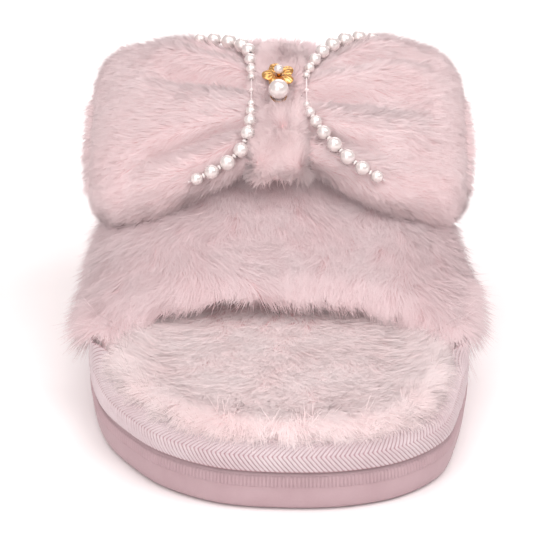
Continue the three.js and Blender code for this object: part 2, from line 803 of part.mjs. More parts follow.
function addString(name) {
  const places = stringPlaces(name);
  const curve = stringCurve(places);
  const knots = curve.points.length - 1;
  const all = [...places.half, null, ...places.rear.toReversed()];
  let number = 0;
  all.forEach((place, i) => {
    if (!place) return;
    number += 1;
    const along = curve.getTangent((i + 1) / knots);
    const turn = new THREE.Quaternion().setFromUnitVectors(new THREE.Vector3(0, 1, 0), along);
    const mesh = addNode(
      `${name}_pearl_${String(number).padStart(2, '0')}`, pearl(place.size), PEARL_WHITE,
    );
    mesh.position.copy(curve.points[i + 1]);
    mesh.quaternion.copy(turn);
  });
  addNode(`${name}_pearl_thread`, threadBody(curve, knots * 2), THREAD_WHITE);
}

function threadBody(curve, steps) {
  const rings = [];
  const out = bowOut;
  for (let k = 0; k <= steps; k++) {
    const at = curve.getPoint(k / steps);
    const along = curve.getTangent(k / steps);
    const across = new THREE.Vector3().crossVectors(out, along).normalize();
    const up = new THREE.Vector3().crossVectors(along, across);
    const ring = [];
    for (let j = 0; j < 5; j++) {
      const angle = (2 * Math.PI * j) / 5;
      ring.push(at.clone()
        .addScaledVector(across, THREAD_RADIUS * Math.cos(angle))
        .addScaledVector(up, THREAD_RADIUS * Math.sin(angle)));
    }
    rings.push(ring);
  }
  return loftedBody(rings);
}

// ---- brooch ---------------------------------------------------------------------------------
const BROOCH_SEAT = KNOT_HALF_THICK + GAP;
const COLLAR_TOP = BROOCH_SEAT + 0.8;
const FLOWER_BACK = COLLAR_TOP + GAP;
const FLOWER_THICK = 1.2;

function broochFlower() {
  const shape = new THREE.Shape();
  const steps = 40;
  for (let k = 0; k < steps; k++) {
    const angle = (2 * Math.PI * k) / steps;
    const radius = FLOWER_RADIUS - 0.3 - 1.1 * Math.abs(Math.cos(2.5 * angle)) ** 3;
    const x = radius * Math.cos(angle);
    const y = radius * Math.sin(angle);
    if (k === 0) shape.moveTo(x, y);
    else shape.lineTo(x, y);
  }
  shape.closePath();
  const hole = new THREE.Path();
  hole.absarc(0, 0, POST_RADIUS + GAP, 0, 2 * Math.PI, true);
  shape.holes.push(hole);
  const plate = new THREE.ExtrudeGeometry(shape, {
    depth: FLOWER_THICK - 0.5,
    bevelEnabled: true,
    bevelThickness: 0.25,
    bevelSize: 0.3,
    bevelOffset: -0.3,
    bevelSegments: 1,
    curveSegments: 6,
  });
  plate.rotateX(-Math.PI / 2);
  return placedOut(solidLathe(plate), 0, POST_V, FLOWER_BACK + 0.25);
}

const BEAD_RADIUS = 1.3;
const BEAD_SEAT = FLOWER_BACK + FLOWER_THICK + GAP;
const POST_TOP = BEAD_SEAT + BEAD_RADIUS;
const POST_END = 1;

function lathed(profile, sides, v) {
  const points = profile.map(([r, n]) => new THREE.Vector2(r, n));
  return placedOut(solidLathe(new THREE.LatheGeometry(points, sides)), 0, v, 0);
}

function broochPost() {
  const collar = 1.6;
  return lathed([
    [0, POST_END], [POST_RADIUS, POST_END], [POST_RADIUS, BROOCH_SEAT], [collar, BROOCH_SEAT],
    [collar, COLLAR_TOP], [POST_RADIUS, COLLAR_TOP], [POST_RADIUS, POST_TOP - GAP],
    [0, POST_TOP - GAP],
  ], 12, POST_V);
}

function broochClutch() {
  const inner = POST_RADIUS + GAP;
  return lathed([
    [inner, 1.6], [CLUTCH_RADIUS, 1.6], [CLUTCH_RADIUS, 2.4], [1.6, 3.4], [inner, 3.4], [inner, 1.6],
  ], 14, POST_V);
}

// The small bead on top of the post, drilled half through.
function broochBead() {
  const hole = POST_RADIUS + 0.15;
  const centre = BEAD_SEAT + Math.sqrt(BEAD_RADIUS ** 2 - hole ** 2);
  const profile = [[0, POST_TOP], [hole, POST_TOP], [hole, BEAD_SEAT]];
  const open = Math.PI - Math.asin(hole / BEAD_RADIUS);
  for (let k = 1; k <= 6; k++) {
    const angle = open * (1 - k / 6);
    profile.push([BEAD_RADIUS * Math.sin(angle), centre + BEAD_RADIUS * Math.cos(angle)]);
  }
  return lathed(profile, 12, POST_V);
}

const PEARL_V = POST_V + FLOWER_RADIUS + BROOCH_PEARL_RADIUS + 0.5;
const CUP_THICK = 0.6;

function broochPearl() {
  const centre = BROOCH_SEAT + CUP_THICK + GAP + BROOCH_PEARL_RADIUS;
  const profile = [];
  for (let k = 0; k <= 9; k++) {
    const angle = (Math.PI * k) / 9;
    profile.push([
      BROOCH_PEARL_RADIUS * Math.sin(angle), centre + BROOCH_PEARL_RADIUS * Math.cos(angle),
    ]);
  }
  return lathed(profile, 14, PEARL_V);
}

function broochCup() {
  return lathed([
    [0, BROOCH_SEAT], [1.7, BROOCH_SEAT], [2.3, BROOCH_SEAT + 0.7], [2, BROOCH_SEAT + 1.2],
    [1.4, BROOCH_SEAT + CUP_THICK], [0, BROOCH_SEAT + CUP_THICK],
  ], 14, PEARL_V);
}

// ---- assembly -------------------------------------------------------------------------------
addNode('outsole', outsole(), PINK_RUBBER);
addNode('midsole', midsole(), WHITE_FOAM);
addNode('bottom_filler', bottomFiller(), GREY_BOARD);
addNode('insole_board', insoleBoard(), GREY_BOARD);
addNode('footbed_foam', footbedFoam(), WHITE_FOAM);
addNode('footbed_fur', footbedFur(), PINK_FUR);
addNode('edge_tape', edgeTape(), PINK_TAPE);
addNode('strap_shell', cutBy(strapShell(), tackHoles(TACK_RADIUS + GAP)), PINK_FUR);
addNode(
  'strap_interlining',
  cutBy(
    innerLayer(INTERLINING_DEPTH, INTERLINING_DEPTH + INTERLINING_THICK),
    tackHoles(TACK_HEAD + GAP),
  ),
  WHITE_FOAM,
);
addNode('strap_lining', innerLayer(LINING_DEPTH, LINING_DEPTH + LINING_THICK), PINK_LINING);
addNode('bow_pad', bowPad(), PINK_LINING);
addNode('bow_knot_band', knotBand(), PINK_PLUSH);
addNode('bow_knot_core', knotCore(), PINK_PLUSH);
TACK_V.forEach((v, i) => addNode(`bow_tack_${i ? 'front' : 'rear'}`, tackStitch(v), THREAD_WHITE));
for (const [name, side] of [['left', -1], ['right', 1]]) {
  addNode(`${name}_loop_cover`, loopCover(side), PINK_PLUSH);
  addNode(`${name}_loop_stuffing`, loopStuffing(side), WHITE_FILL);
  addString(name);
}
addNode('brooch_flower', broochFlower(), GOLD);
addNode('brooch_post', broochPost(), GOLD);
addNode('brooch_clutch', broochClutch(), GOLD);
addNode('brooch_bead', broochBead(), PEARL_WHITE);
addNode('brooch_pearl', broochPearl(), PEARL_WHITE);
addNode('brooch_pearl_cup', broochCup(), GOLD);

export default group;
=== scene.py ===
"""Fluffy open-toe house slipper with a plush bow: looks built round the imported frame, in metres."""

import json
import logging
import math
from dataclasses import dataclass, field
from enum import Enum

import bpy
import numpy as np
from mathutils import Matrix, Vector

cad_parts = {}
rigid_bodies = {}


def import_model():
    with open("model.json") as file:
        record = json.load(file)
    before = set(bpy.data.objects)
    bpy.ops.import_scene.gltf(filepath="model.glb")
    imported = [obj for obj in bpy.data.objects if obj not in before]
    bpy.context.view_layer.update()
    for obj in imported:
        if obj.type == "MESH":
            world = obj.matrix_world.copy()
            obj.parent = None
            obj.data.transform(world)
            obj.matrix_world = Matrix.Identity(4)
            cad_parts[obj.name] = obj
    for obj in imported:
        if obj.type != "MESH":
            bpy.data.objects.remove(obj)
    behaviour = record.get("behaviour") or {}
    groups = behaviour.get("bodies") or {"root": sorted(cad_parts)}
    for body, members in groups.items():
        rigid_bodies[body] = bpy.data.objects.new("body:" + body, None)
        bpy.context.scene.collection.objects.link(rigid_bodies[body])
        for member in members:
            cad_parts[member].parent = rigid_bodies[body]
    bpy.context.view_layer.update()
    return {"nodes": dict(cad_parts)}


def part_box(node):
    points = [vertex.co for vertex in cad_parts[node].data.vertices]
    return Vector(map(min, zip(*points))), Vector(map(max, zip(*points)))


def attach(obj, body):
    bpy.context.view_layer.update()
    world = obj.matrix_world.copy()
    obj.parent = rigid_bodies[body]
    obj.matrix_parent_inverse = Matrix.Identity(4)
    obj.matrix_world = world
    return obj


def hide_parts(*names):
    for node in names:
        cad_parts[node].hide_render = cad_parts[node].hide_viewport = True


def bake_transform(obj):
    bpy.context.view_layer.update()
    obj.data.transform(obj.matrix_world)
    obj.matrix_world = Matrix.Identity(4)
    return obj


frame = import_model()
MM = 0.001
UV_NAME = "OFBake"
log = logging.getLogger("slipper")

Tree = bpy.types.NodeTree
Socket = bpy.types.NodeSocket
Material = bpy.types.Material
Piece = bpy.types.Object


class Body(Enum):
    """The bodies that pieces ride on."""

    SLIPPER = "slipper"
    LEFT = "left_loop"
    RIGHT = "right_loop"
    BROOCH = "brooch"


class Side(Enum):
    """The wearer's left or right of the middle line, as a sign of x."""

    LEFT = -1
    RIGHT = 1

    @property
    def body(self) -> Body:
        """The loop body on this side."""
        return Body.LEFT if self is Side.LEFT else Body.RIGHT

    @property
    def word(self) -> str:
        """The side's name in piece names."""
        return self.name.lower()


# ---- numbers and meshes ----------------------------------------------------------------------
def linear(colour: str) -> tuple[float, float, float, float]:
    """Turns an sRGB hex colour into linear light.

    Args:
        colour: six hex digits after a hash.

    Returns:
        Linear red, green, blue and an alpha of one.
    """
    parts = [int(colour[i : i + 2], 16) / 255 for i in (1, 3, 5)]
    light = [p / 12.92 if p <= 0.04045 else ((p + 0.055) / 1.055) ** 2.4 for p in parts]
    return (*light, 1.0)


def unit(rows: np.ndarray) -> np.ndarray:
    """Scales each row to length one."""
    return rows / np.maximum(np.linalg.norm(rows, axis=-1, keepdims=True), 1e-12)


def smooth(x: np.ndarray, low: float, high: float) -> np.ndarray:
    """Rises softly from 0 at low to 1 at high."""
    t = np.clip((np.asarray(x, float) - low) / (high - low), 0, 1)
    return t * t * (3 - 2 * t)


def signed_power(x: np.ndarray, power: float) -> np.ndarray:
    """Raises the size of x to a power and keeps its sign."""
    return np.sign(x) * np.abs(x) ** power


def add_mesh(
    name: str,
    points: np.ndarray,
    faces: list[np.ndarray],
    normals: np.ndarray | None = None,
    uv: np.ndarray | None = None,
) -> Piece:
    """Makes a mesh object from arrays.

    Args:
        name: the piece's name.
        points: corner places in metres, one row each.
        faces: arrays of corner numbers, each with one row per face.
        normals: shading normals, one row per point, or None for smooth shading.
        uv: map places, one row per point, or None.

    Returns:
        The new object, linked to the scene.
    """
    mesh = bpy.data.meshes.new(name)
    corners = np.concatenate([f.ravel() for f in faces]).astype(np.int32)
    totals = np.concatenate([np.full(len(f), f.shape[1]) for f in faces])
    starts = np.concatenate([[0], np.cumsum(totals)[:-1]]).astype(np.int32)
    mesh.vertices.add(len(points))
    mesh.vertices.foreach_set("co", np.asarray(points, np.float32).ravel())
    mesh.loops.add(len(corners))
    mesh.loops.foreach_set("vertex_index", corners)
    mesh.polygons.add(len(totals))
    mesh.polygons.foreach_set("loop_start", starts)
    mesh.update(calc_edges=True)
    mesh.polygons.foreach_set("use_smooth", np.ones(len(totals), bool))
    if uv is not None:
        layer = mesh.uv_layers.new(name=UV_NAME)
        layer.uv.foreach_set("vector", np.asarray(uv, np.float32)[corners].ravel())
    if normals is not None:
        mesh.normals_split_custom_set_from_vertices(np.asarray(normals, np.float32))
    piece = bpy.data.objects.new(name, mesh)
    bpy.context.scene.collection.objects.link(piece)
    return piece


def grid_faces(rows: int, columns: int, round_trip: bool = False, first: int = 0) -> np.ndarray:
    """Numbers the quads of a grid of points.

    Args:
        rows: how many rows of points.
        columns: how many points in a row.
        round_trip: joins the last column to the first.
        first: the number of the grid's first point.

    Returns:
        Four corner numbers for each quad.
    """
    across = columns if round_trip else columns - 1
    r, c = np.meshgrid(np.arange(rows - 1), np.arange(across), indexing="ij")
    after = (c + 1) % columns
    quads = [r * columns + c, r * columns + after, (r + 1) * columns + after, (r + 1) * columns + c]
    return np.stack(quads, -1).reshape(-1, 4) + first


def dress(piece: Piece, material: Material) -> Piece:
    """Gives a piece its material."""
    piece.data.materials.clear()
    piece.data.materials.append(material)
    return piece


def mark_height(piece: Piece, share: np.ndarray) -> None:
    """Stores how high each point of a ribbed surface stands, from 0 in a groove to 1 on a rib, for the
    material's painted shade in the grooves.
    """
    layer = piece.data.attributes.new("rib_height", "FLOAT", "POINT")
    layer.data.foreach_set("value", np.asarray(share, np.float32).ravel())


def crease_shading(piece: Piece, degrees: float) -> None:
    """Keeps edges sharper than an angle crisp under smooth shading."""
    piece.data.set_sharp_from_angle(angle=math.radians(degrees))


# ---- materials -------------------------------------------------------------------------------
def add(
    tree: Tree,
    kind: str,
    settings: dict[str | int, object] | None = None,
    links: dict[str | int, Socket] | None = None,
) -> bpy.types.Node:
    """Adds a node with its settings and links.

    Args:
        tree: the material's node tree.
        kind: the node's type.
        settings: values of inputs, by name or number, or of the node's own properties.
        links: output sockets to join to inputs, by name or number.

    Returns:
        The new node.
    """
    node = tree.nodes.new(kind)
    for key, value in (settings or {}).items():
        if isinstance(key, int) or key in node.inputs:
            node.inputs[key].default_value = value
        else:
            setattr(node, key, value)
    for key, source in (links or {}).items():
        tree.links.new(source, node.inputs[key])
    return node


def start(name: str) -> tuple[Material, Tree]:
    """Makes an empty material with nodes."""
    material = bpy.data.materials.new(name)
    material.use_nodes = True
    material.node_tree.nodes.clear()
    return material, material.node_tree


def surface(tree: Tree, settings: dict[str | int, object], links: dict[str | int, Socket]) -> None:
    """Adds the surface shader with its settings and links, and joins it to the output."""
    shader = add(tree, "ShaderNodeBsdfPrincipled", settings, links)
    add(tree, "ShaderNodeOutputMaterial", links={"Surface": shader.outputs[0]})


def ramp(tree: Tree, source: Socket, stops: dict[float, str]) -> Socket:
    """Turns a value into colours.

    Args:
        tree: the material's node tree.
        source: the value that picks the colour.
        stops: sRGB hex colours by place from 0 to 1.

    Returns:
        The colour socket.
    """
    node = add(tree, "ShaderNodeValToRGB", links={"Fac": source})
    places = sorted(stops)
    elements = node.color_ramp.elements
    while len(elements) < len(places):
        elements.new(0.5)
    for element, place in zip(elements, places):
        element.position = place
        element.color = linear(stops[place])
    return node.outputs["Color"]


def noise(tree: Tree, size_mm: float, detail: float, roughness: float = 0.5) -> Socket:
    """Cloudy noise that stays fixed to the piece.

    Args:
        tree: the material's node tree.
        size_mm: the size of a patch.
        detail: how many finer layers are added.
        roughness: how strong those layers are.

    Returns:
        The noise's value, around a half.
    """
    where = add(tree, "ShaderNodeTexCoord")
    settings = {"Scale": 1 / (size_mm * MM), "Detail": detail, "Roughness": roughness}
    return add(tree, "ShaderNodeTexNoise", settings, {"Vector": where.outputs["Object"]}).outputs["Fac"]


def spread(tree: Tree, value: Socket, low: float, high: float, **ends: float) -> Socket:
    """Maps a value onto the range from low to high.

    Args:
        tree: the material's node tree.
        value: the value to map.
        low: what the range's start gives.
        high: what the range's end gives.
        ends: start and end of the value's own range, or 0 and 1.

    Returns:
        The mapped value.
    """
    settings = {"To Min": low, "To Max": high}
    settings |= {"From Min": ends.get("start", 0.0), "From Max": ends.get("end", 1.0)}
    return add(tree, "ShaderNodeMapRange", settings, {"Value": value}).outputs[0]


def tinted(tree: Tree, colour: Socket, by: str | Socket, share: float | Socket) -> Socket:
    """Multiplies a colour by another in part.

    Args:
        tree: the material's node tree.
        colour: the colour to tint.
        by: an sRGB hex colour or a socket.
        share: how much of the tint is used.

    Returns:
        The tinted colour.
    """
    settings = {"data_type": "RGBA", "blend_type": "MULTIPLY"}
    links = {6: colour}
    if isinstance(by, str):
        settings[7] = linear(by)
    else:
        links[7] = by
    if isinstance(share, float):
        settings[0] = share
    else:
        links[0] = share
    return add(tree, "ShaderNodeMix", settings, links).outputs[2]


def blended(tree: Tree, fine: Socket, coarse: Socket, share: float) -> Socket:
    """Adds a share of a fine pattern to a coarse one."""
    settings = {"operation": "MULTIPLY_ADD", 1: share}
    return add(tree, "ShaderNodeMath", settings, {0: fine, 2: coarse}).outputs[0]


def bumps(tree: Tree, height: Socket, strength: float, depth_mm: float) -> Socket:
    """Turns a pattern into bumps of a depth in mm."""
    settings = {"Strength": strength, "Distance": depth_mm * MM}
    return add(tree, "ShaderNodeBump", settings, {"Height": height}).outputs[0]


@dataclass(frozen=True)
class PileFinish:
    """Brushed acrylic or polyester pile: matt fibres, pinker at the root and paler at the tip; the pinker
    root is partly the fibre's own tone and partly painted shade deep in the pile.
    """

    name: str
    root: str
    middle: str
    tip: str
    shade: str
    roughness: float = 0.86
    sheen: float = 0.35
    drift_mm: float = 14.0

    def build(self) -> Material:
        """Colours each strand along its length, with its own tint and a slow cloud of colour.

        Returns:
            The material.
        """
        material, tree = start(self.name)
        place = add(tree, "ShaderNodeUVMap", {"uv_map": UV_NAME})
        parts = add(tree, "ShaderNodeSeparateXYZ", links={0: place.outputs[0]})
        # Painted shade: each strand's root end is darker and pinker, partly its own tone and partly
        # standing in for shade deep in the pile.
        along = ramp(tree, parts.outputs["Y"], {0.0: self.root, 0.45: self.middle, 1.0: self.tip})
        own = add(tree, "ShaderNodeTexWhiteNoise", {"noise_dimensions": "1D"}, {"W": parts.outputs["X"]})
        toned = tinted(tree, along, self.shade, spread(tree, own.outputs["Value"], 0.0, 0.3))
        cloud = noise(tree, self.drift_mm, 3.0, 0.6)
        drift = spread(tree, cloud, 0.0, 0.3, start=0.35, end=0.7)
        settings = {
            "Roughness": self.roughness,
            "Sheen Weight": self.sheen,
            "Sheen Roughness": 0.5,
            "Sheen Tint": linear("#fff4f5"),
            "Specular IOR Level": 0.2,
        }
        surface(tree, settings, {"Base Color": tinted(tree, toned, self.shade, drift)})
        return material


@dataclass(frozen=True)
class GrainFinish:
    """A matt sheet or moulding with a grain: knitted backing, moulded rubber, foam, board."""

    name: str
    light: str
    dark: str
    grain_mm: float
    height_mm: float
    roughness: float
    cloud_mm: float = 9.0
    sheen: float = 0.0
    specular: float = 0.4
    cells: bool = False

    def _grain(self, tree: Tree) -> Socket:
        """The grain's height: open cells in foam and knitting, fine noise elsewhere."""
        if not self.cells:
            return noise(tree, self.grain_mm, 3.0, 0.6)
        where = add(tree, "ShaderNodeTexCoord")
        settings = {"Scale": 1 / (self.grain_mm * MM), "Randomness": 0.8}
        cells = add(tree, "ShaderNodeTexVoronoi", settings, {"Vector": where.outputs["Object"]})
        return cells.outputs["Distance"]

    def build(self) -> Material:
        """Mottles the colour slowly and raises the grain.

        Returns:
            The material.
        """
        material, tree = start(self.name)
        cloud = noise(tree, self.cloud_mm, 4.0, 0.55)
        height = self._grain(tree)
        both = blended(tree, height, cloud, 0.35)
        settings = {"Sheen Weight": self.sheen, "Specular IOR Level": self.specular}
        links = {
            "Base Color": ramp(tree, both, {0.4: self.dark, 0.85: self.light}),
            "Roughness": spread(tree, cloud, self.roughness - 0.06, min(1.0, self.roughness + 0.06)),
            "Normal": bumps(tree, height, 0.6, self.height_mm),
        }
        surface(tree, settings, links)
        return material


@dataclass(frozen=True)
class RibFinish:
    """Woven polyester ribbon or sewing thread: fine filaments that run along each rib."""

    name: str
    light: str
    dark: str
    filament_mm: float
    roughness: float = 0.72
    sheen: float = 0.25
    # The tint of the painted shade in the grooves; white paints none.
    groove: str = "#ffffff"

    def build(self) -> Material:
        """Draws filaments, coarser than life so that they show, a light soil and painted shade that darkens
        the grooves.

        Returns:
            The material.
        """
        material, tree = start(self.name)
        filaments = noise(tree, self.filament_mm, 2.0)
        both = blended(tree, filaments, noise(tree, 12, 4.0), 0.5)
        mixed = ramp(tree, both, {0.55: self.dark, 0.95: self.light})
        rib = add(tree, "ShaderNodeAttribute", {"attribute_name": "rib_height"})
        # Painted shade: the colour darkens towards the groove tint where rib_height is low, in the grooves
        # between ribs.
        groove = ramp(tree, rib.outputs["Fac"], {0.0: self.groove, 0.55: "#ffffff"})
        settings = {"Roughness": self.roughness, "Sheen Weight": self.sheen, "Specular IOR Level": 0.35}
        links = {
            "Base Color": tinted(tree, mixed, groove, 1.0),
            "Normal": bumps(tree, filaments, 0.5, 0.12),
        }
        surface(tree, settings, links)
        return material


@dataclass(frozen=True)
class PearlFinish:
    """Lacquered imitation pearl: a milky body under a clear coat, with a faint pink drift."""

    name: str

    def build(self) -> Material:
        """Mixes cream and pink slowly over the pearl.

        Returns:
            The material.
        """
        material, tree = start(self.name)
        drift = noise(tree, 3, 2.0)
        colour = ramp(tree, drift, {0.3: "#dcd4d2", 0.55: "#e8e2df", 0.75: "#e2d8d9"})
        settings = {
            "Roughness": 0.22,
            "Metallic": 0.4,
            "Coat Weight": 1.0,
            "Coat Roughness": 0.06,
            "Specular IOR Level": 0.6,
        }
        surface(tree, settings, {"Base Color": colour})
        return material


@dataclass(frozen=True)
class GoldFinish:
    """Gold-plated zinc casting, tumble polished: warm metal with faint rubbing marks."""

    name: str
    bright: str = "#efc384"
    deep: str = "#dca45f"

    def build(self) -> Material:
        """Varies the plate's colour and polish, with rubbing marks 0.15 mm apart.

        Returns:
            The material.
        """
        material, tree = start(self.name)
        wear = noise(tree, 1.5, 4.0)
        links = {
            "Base Color": ramp(tree, wear, {0.3: self.deep, 0.65: self.bright}),
            "Roughness": spread(tree, wear, 0.16, 0.34),
            "Normal": bumps(tree, noise(tree, 0.15, 1.0), 0.15, 0.03),
        }
        surface(tree, {"Metallic": 1.0}, links)
        return material


@dataclass
class Finishes:
    """Every material of the slipper, made once."""

    made: dict[str, Material] = field(default_factory=dict)

    def get(self, kind: object) -> Material:
        """Builds a finish the first time that a piece asks for it."""
        if kind.name not in self.made:
            self.made[kind.name] = kind.build()
        return self.made[kind.name]


# Brushed long pile: pale matt tips over pinker roots, partly their own tone and partly painted shade for
# the pile's depths, so that locks show without hard shadows.
LONG_PILE = PileFinish("long_acrylic_pile_brushed", "#dcb8ba", "#e7d4d6", "#eee1e2", "#e6cfd1")
FOOTBED_PILE = PileFinish("footbed_acrylic_pile_brushed", "#f1d4d5", "#f9e9e9", "#fcf3f3", "#f5e3e3")
# Sheared plush: short even strands, with a slow drift of tone over the stuffed loops and knot.
BOW_PILE = PileFinish(
    "bow_polyester_plush_sheared", "#e9c7c8", "#f4e0e1", "#f8ebec", "#f1dadb", drift_mm=18
)
KNOT_PILE = PileFinish(
    "knot_polyester_plush_sheared", "#e8c8c8", "#f2dedf", "#f7e9e9", "#ebd2d3", drift_mm=8
)
# Knitted ground and napped fleece: a warm pink, partly their own colour and partly painted shade, that
# shows between the strands and inside the strap.
PILE_GROUND = GrainFinish(
    "pile_ground_polyester_knitted", "#efc8ca", "#e6babd", 0.7, 0.2, 0.9, sheen=0.3, cells=True
)
LINING_FLEECE = GrainFinish(
    "lining_polyester_fleece_napped", "#ebc2c5", "#deafb3", 0.9, 0.35, 0.92, sheen=0.5
)
# Moulded rubber: an even satin wall with the fine grain of the mould.
SOLE_RUBBER = GrainFinish("outsole_thermoplastic_rubber_moulded", "#b9a0a5", "#b0969b", 0.5, 0.05, 0.5)
# Inner layers, all matt: open-celled foams, flecked board, hairy felt and carded white fibre.
MIDSOLE_FOAM = GrainFinish("midsole_eva_foam_cut", "#f1e6e4", "#e6d8d6", 0.35, 0.1, 0.8, cells=True)
CUSHION_FOAM = GrainFinish("cushion_polyurethane_foam_cut", "#f3eee6", "#e8e0d4", 0.5, 0.2, 0.9, cells=True)
FIBRE_BOARD = GrainFinish("insole_fibreboard_pressed", "#c2b9aa", "#a99f90", 0.6, 0.08, 0.85)
FILLER_FELT = GrainFinish("bottom_filler_felt_needled", "#bdb9b4", "#9d9994", 0.4, 0.2, 0.95)
STUFFING_FIBRE = GrainFinish("loop_stuffing_polyester_fibre_carded", "#f8f6f3", "#ebe7e3", 1.2, 0.5, 0.95)
# Woven tape: pale raised yarns with painted shade in the pinker grooves between them, which draws the
# herringbone.
TAPE_WEAVE = RibFinish(
    "edge_tape_polyester_herringbone_woven", "#d4c8cb", "#c9b8bc", 0.22, groove="#cdaaae"
)
# Twisted thread: off-white and dull, so that it hides between the pearls.
SEWING_THREAD = RibFinish("sewing_thread_polyester_twisted", "#f3e9e9", "#dfd0d1", 0.12, 0.65)
# Lacquered pearls: milky, with one small sharp highlight. Glazed seed beads: clearer and flatter.
PEARL_LACQUER = PearlFinish("imitation_pearl_lacquered")
SEED_GLASS = GrainFinish("seed_bead_glass_glazed", "#f4ecea", "#e8dedc", 0.8, 0.01, 0.15, specular=0.7)
# Gold plate: warm and bright, a little duller where it is rubbed.
GOLD_PLATE = GoldFinish("gold_plated_zinc_polished")


# ---- pile ------------------------------------------------------------------------------------
@dataclass
class Skin:
    """A grid of points that a pile grows from, with its outward normals."""

    points: np.ndarray
    round_trip: bool = False
    turn: int = 1

    def __post_init__(self) -> None:
        """Works out normals and the size of each quad."""
        wrap = "wrap" if self.round_trip else "edge"
        grid = np.pad(self.points, ((0, 0), (1, 1), (0, 0)), mode=wrap)
        across = grid[:, 2:] - grid[:, :-2]
        down = np.gradient(self.points, axis=0)
        self.normals = unit(np.cross(down, across)) * self.turn
        closed = self.points
        normals = self.normals
        if self.round_trip:
            closed = np.concatenate([closed, closed[:, :1]], 1)
            normals = np.concatenate([normals, normals[:, :1]], 1)
        self.wide_points = closed
        self.wide_normals = normals
        a = closed[1:, :-1] - closed[:-1, 1:]
        b = closed[1:, 1:] - closed[:-1, :-1]
        self.areas = np.linalg.norm(np.cross(a, b), axis=-1) / 2

    def scatter(
        self, count: int, rng: np.random.Generator, weight: np.ndarray | None = None
    ) -> tuple[np.ndarray, np.ndarray]:
        """Spreads points evenly over the skin.

        Args:
            count: how many points.
            rng: the seeded source of chance.
            weight: a share for each quad, or None for an even spread.

        Returns:
            Places and outward normals.
        """
        share = self.areas if weight is None else self.areas * weight
        total = np.cumsum(share.ravel())
        pick = np.searchsorted(total, rng.random(count) * total[-1])
        r, c = np.divmod(pick, share.shape[1])
        u = rng.random((count, 1))
        w = rng.random((count, 1))

        def mixed(grid: np.ndarray) -> np.ndarray:
            """Reads the grid between its points."""
            upper = grid[r, c] * (1 - u) + grid[r, c + 1] * u
            lower = grid[r + 1, c] * (1 - u) + grid[r + 1, c + 1] * u
            return upper * (1 - w) + lower * w

        return mixed(self.wide_points), unit(mixed(self.wide_normals))

    def mesh(self, name: str) -> Piece:
        """Makes the skin itself a piece."""
        rows, columns = self.points.shape[:2]
        faces = grid_faces(rows, columns, self.round_trip)
        if self.turn < 0:
            faces = faces[:, ::-1]
        return add_mesh(name, self.points.reshape(-1, 3), [faces[:, ::-1]])


def lattice_noise(points: np.ndarray, cell: float, seed: int) -> np.ndarray:
    """Slow three-way noise from a few waves.

    Args:
        points: places in metres.
        cell: the size of a patch in metres.
        seed: picks the waves.

    Returns:
        Three values from about -1 to 1 for each place.
    """
    rng = np.random.default_rng(seed)
    total = np.zeros_like(points)
    for _ in range(7):
        wave = unit(rng.normal(size=(3, 3))) * (2 * math.pi / cell) * rng.uniform(0.6, 1.5)
        total += np.sin(points @ wave.T + rng.uniform(0, 2 * math.pi, 3))
    return total / 2.6


def lock_centres(roots: np.ndarray, cell: float, seed: int) -> tuple[np.ndarray, np.ndarray]:
    """Finds the lock of hair that each strand belongs to, on a jittered lattice.

    Args:
        roots: places in metres.
        cell: the size of a lock in metres.
        seed: shifts the lattice.

    Returns:
        The middle of each strand's lock, and a number from 0 to 1 for that lock.
    """
    base = np.floor(roots / cell).astype(np.int64)
    best = np.full(len(roots), np.inf)
    centre = np.zeros_like(roots)
    chance = np.zeros(len(roots))
    for step in np.ndindex(3, 3, 3):
        key = base + np.array(step) - 1
        mixed = (key[:, 0] * 73856093) ^ (key[:, 1] * 19349663) ^ (key[:, 2] * 83492791)
        mixed = np.abs(mixed + seed * 7919)
        jitter = np.stack([(mixed * k % 1009) / 1009 for k in (31, 57, 97)], 1)
        place = (key + jitter) * cell
        gap = ((place - roots) ** 2).sum(1)
        near = gap < best
        best[near] = gap[near]
        centre[near] = place[near]
        chance[near] = (mixed[near] * 13 % 997) / 997
    return centre, chance


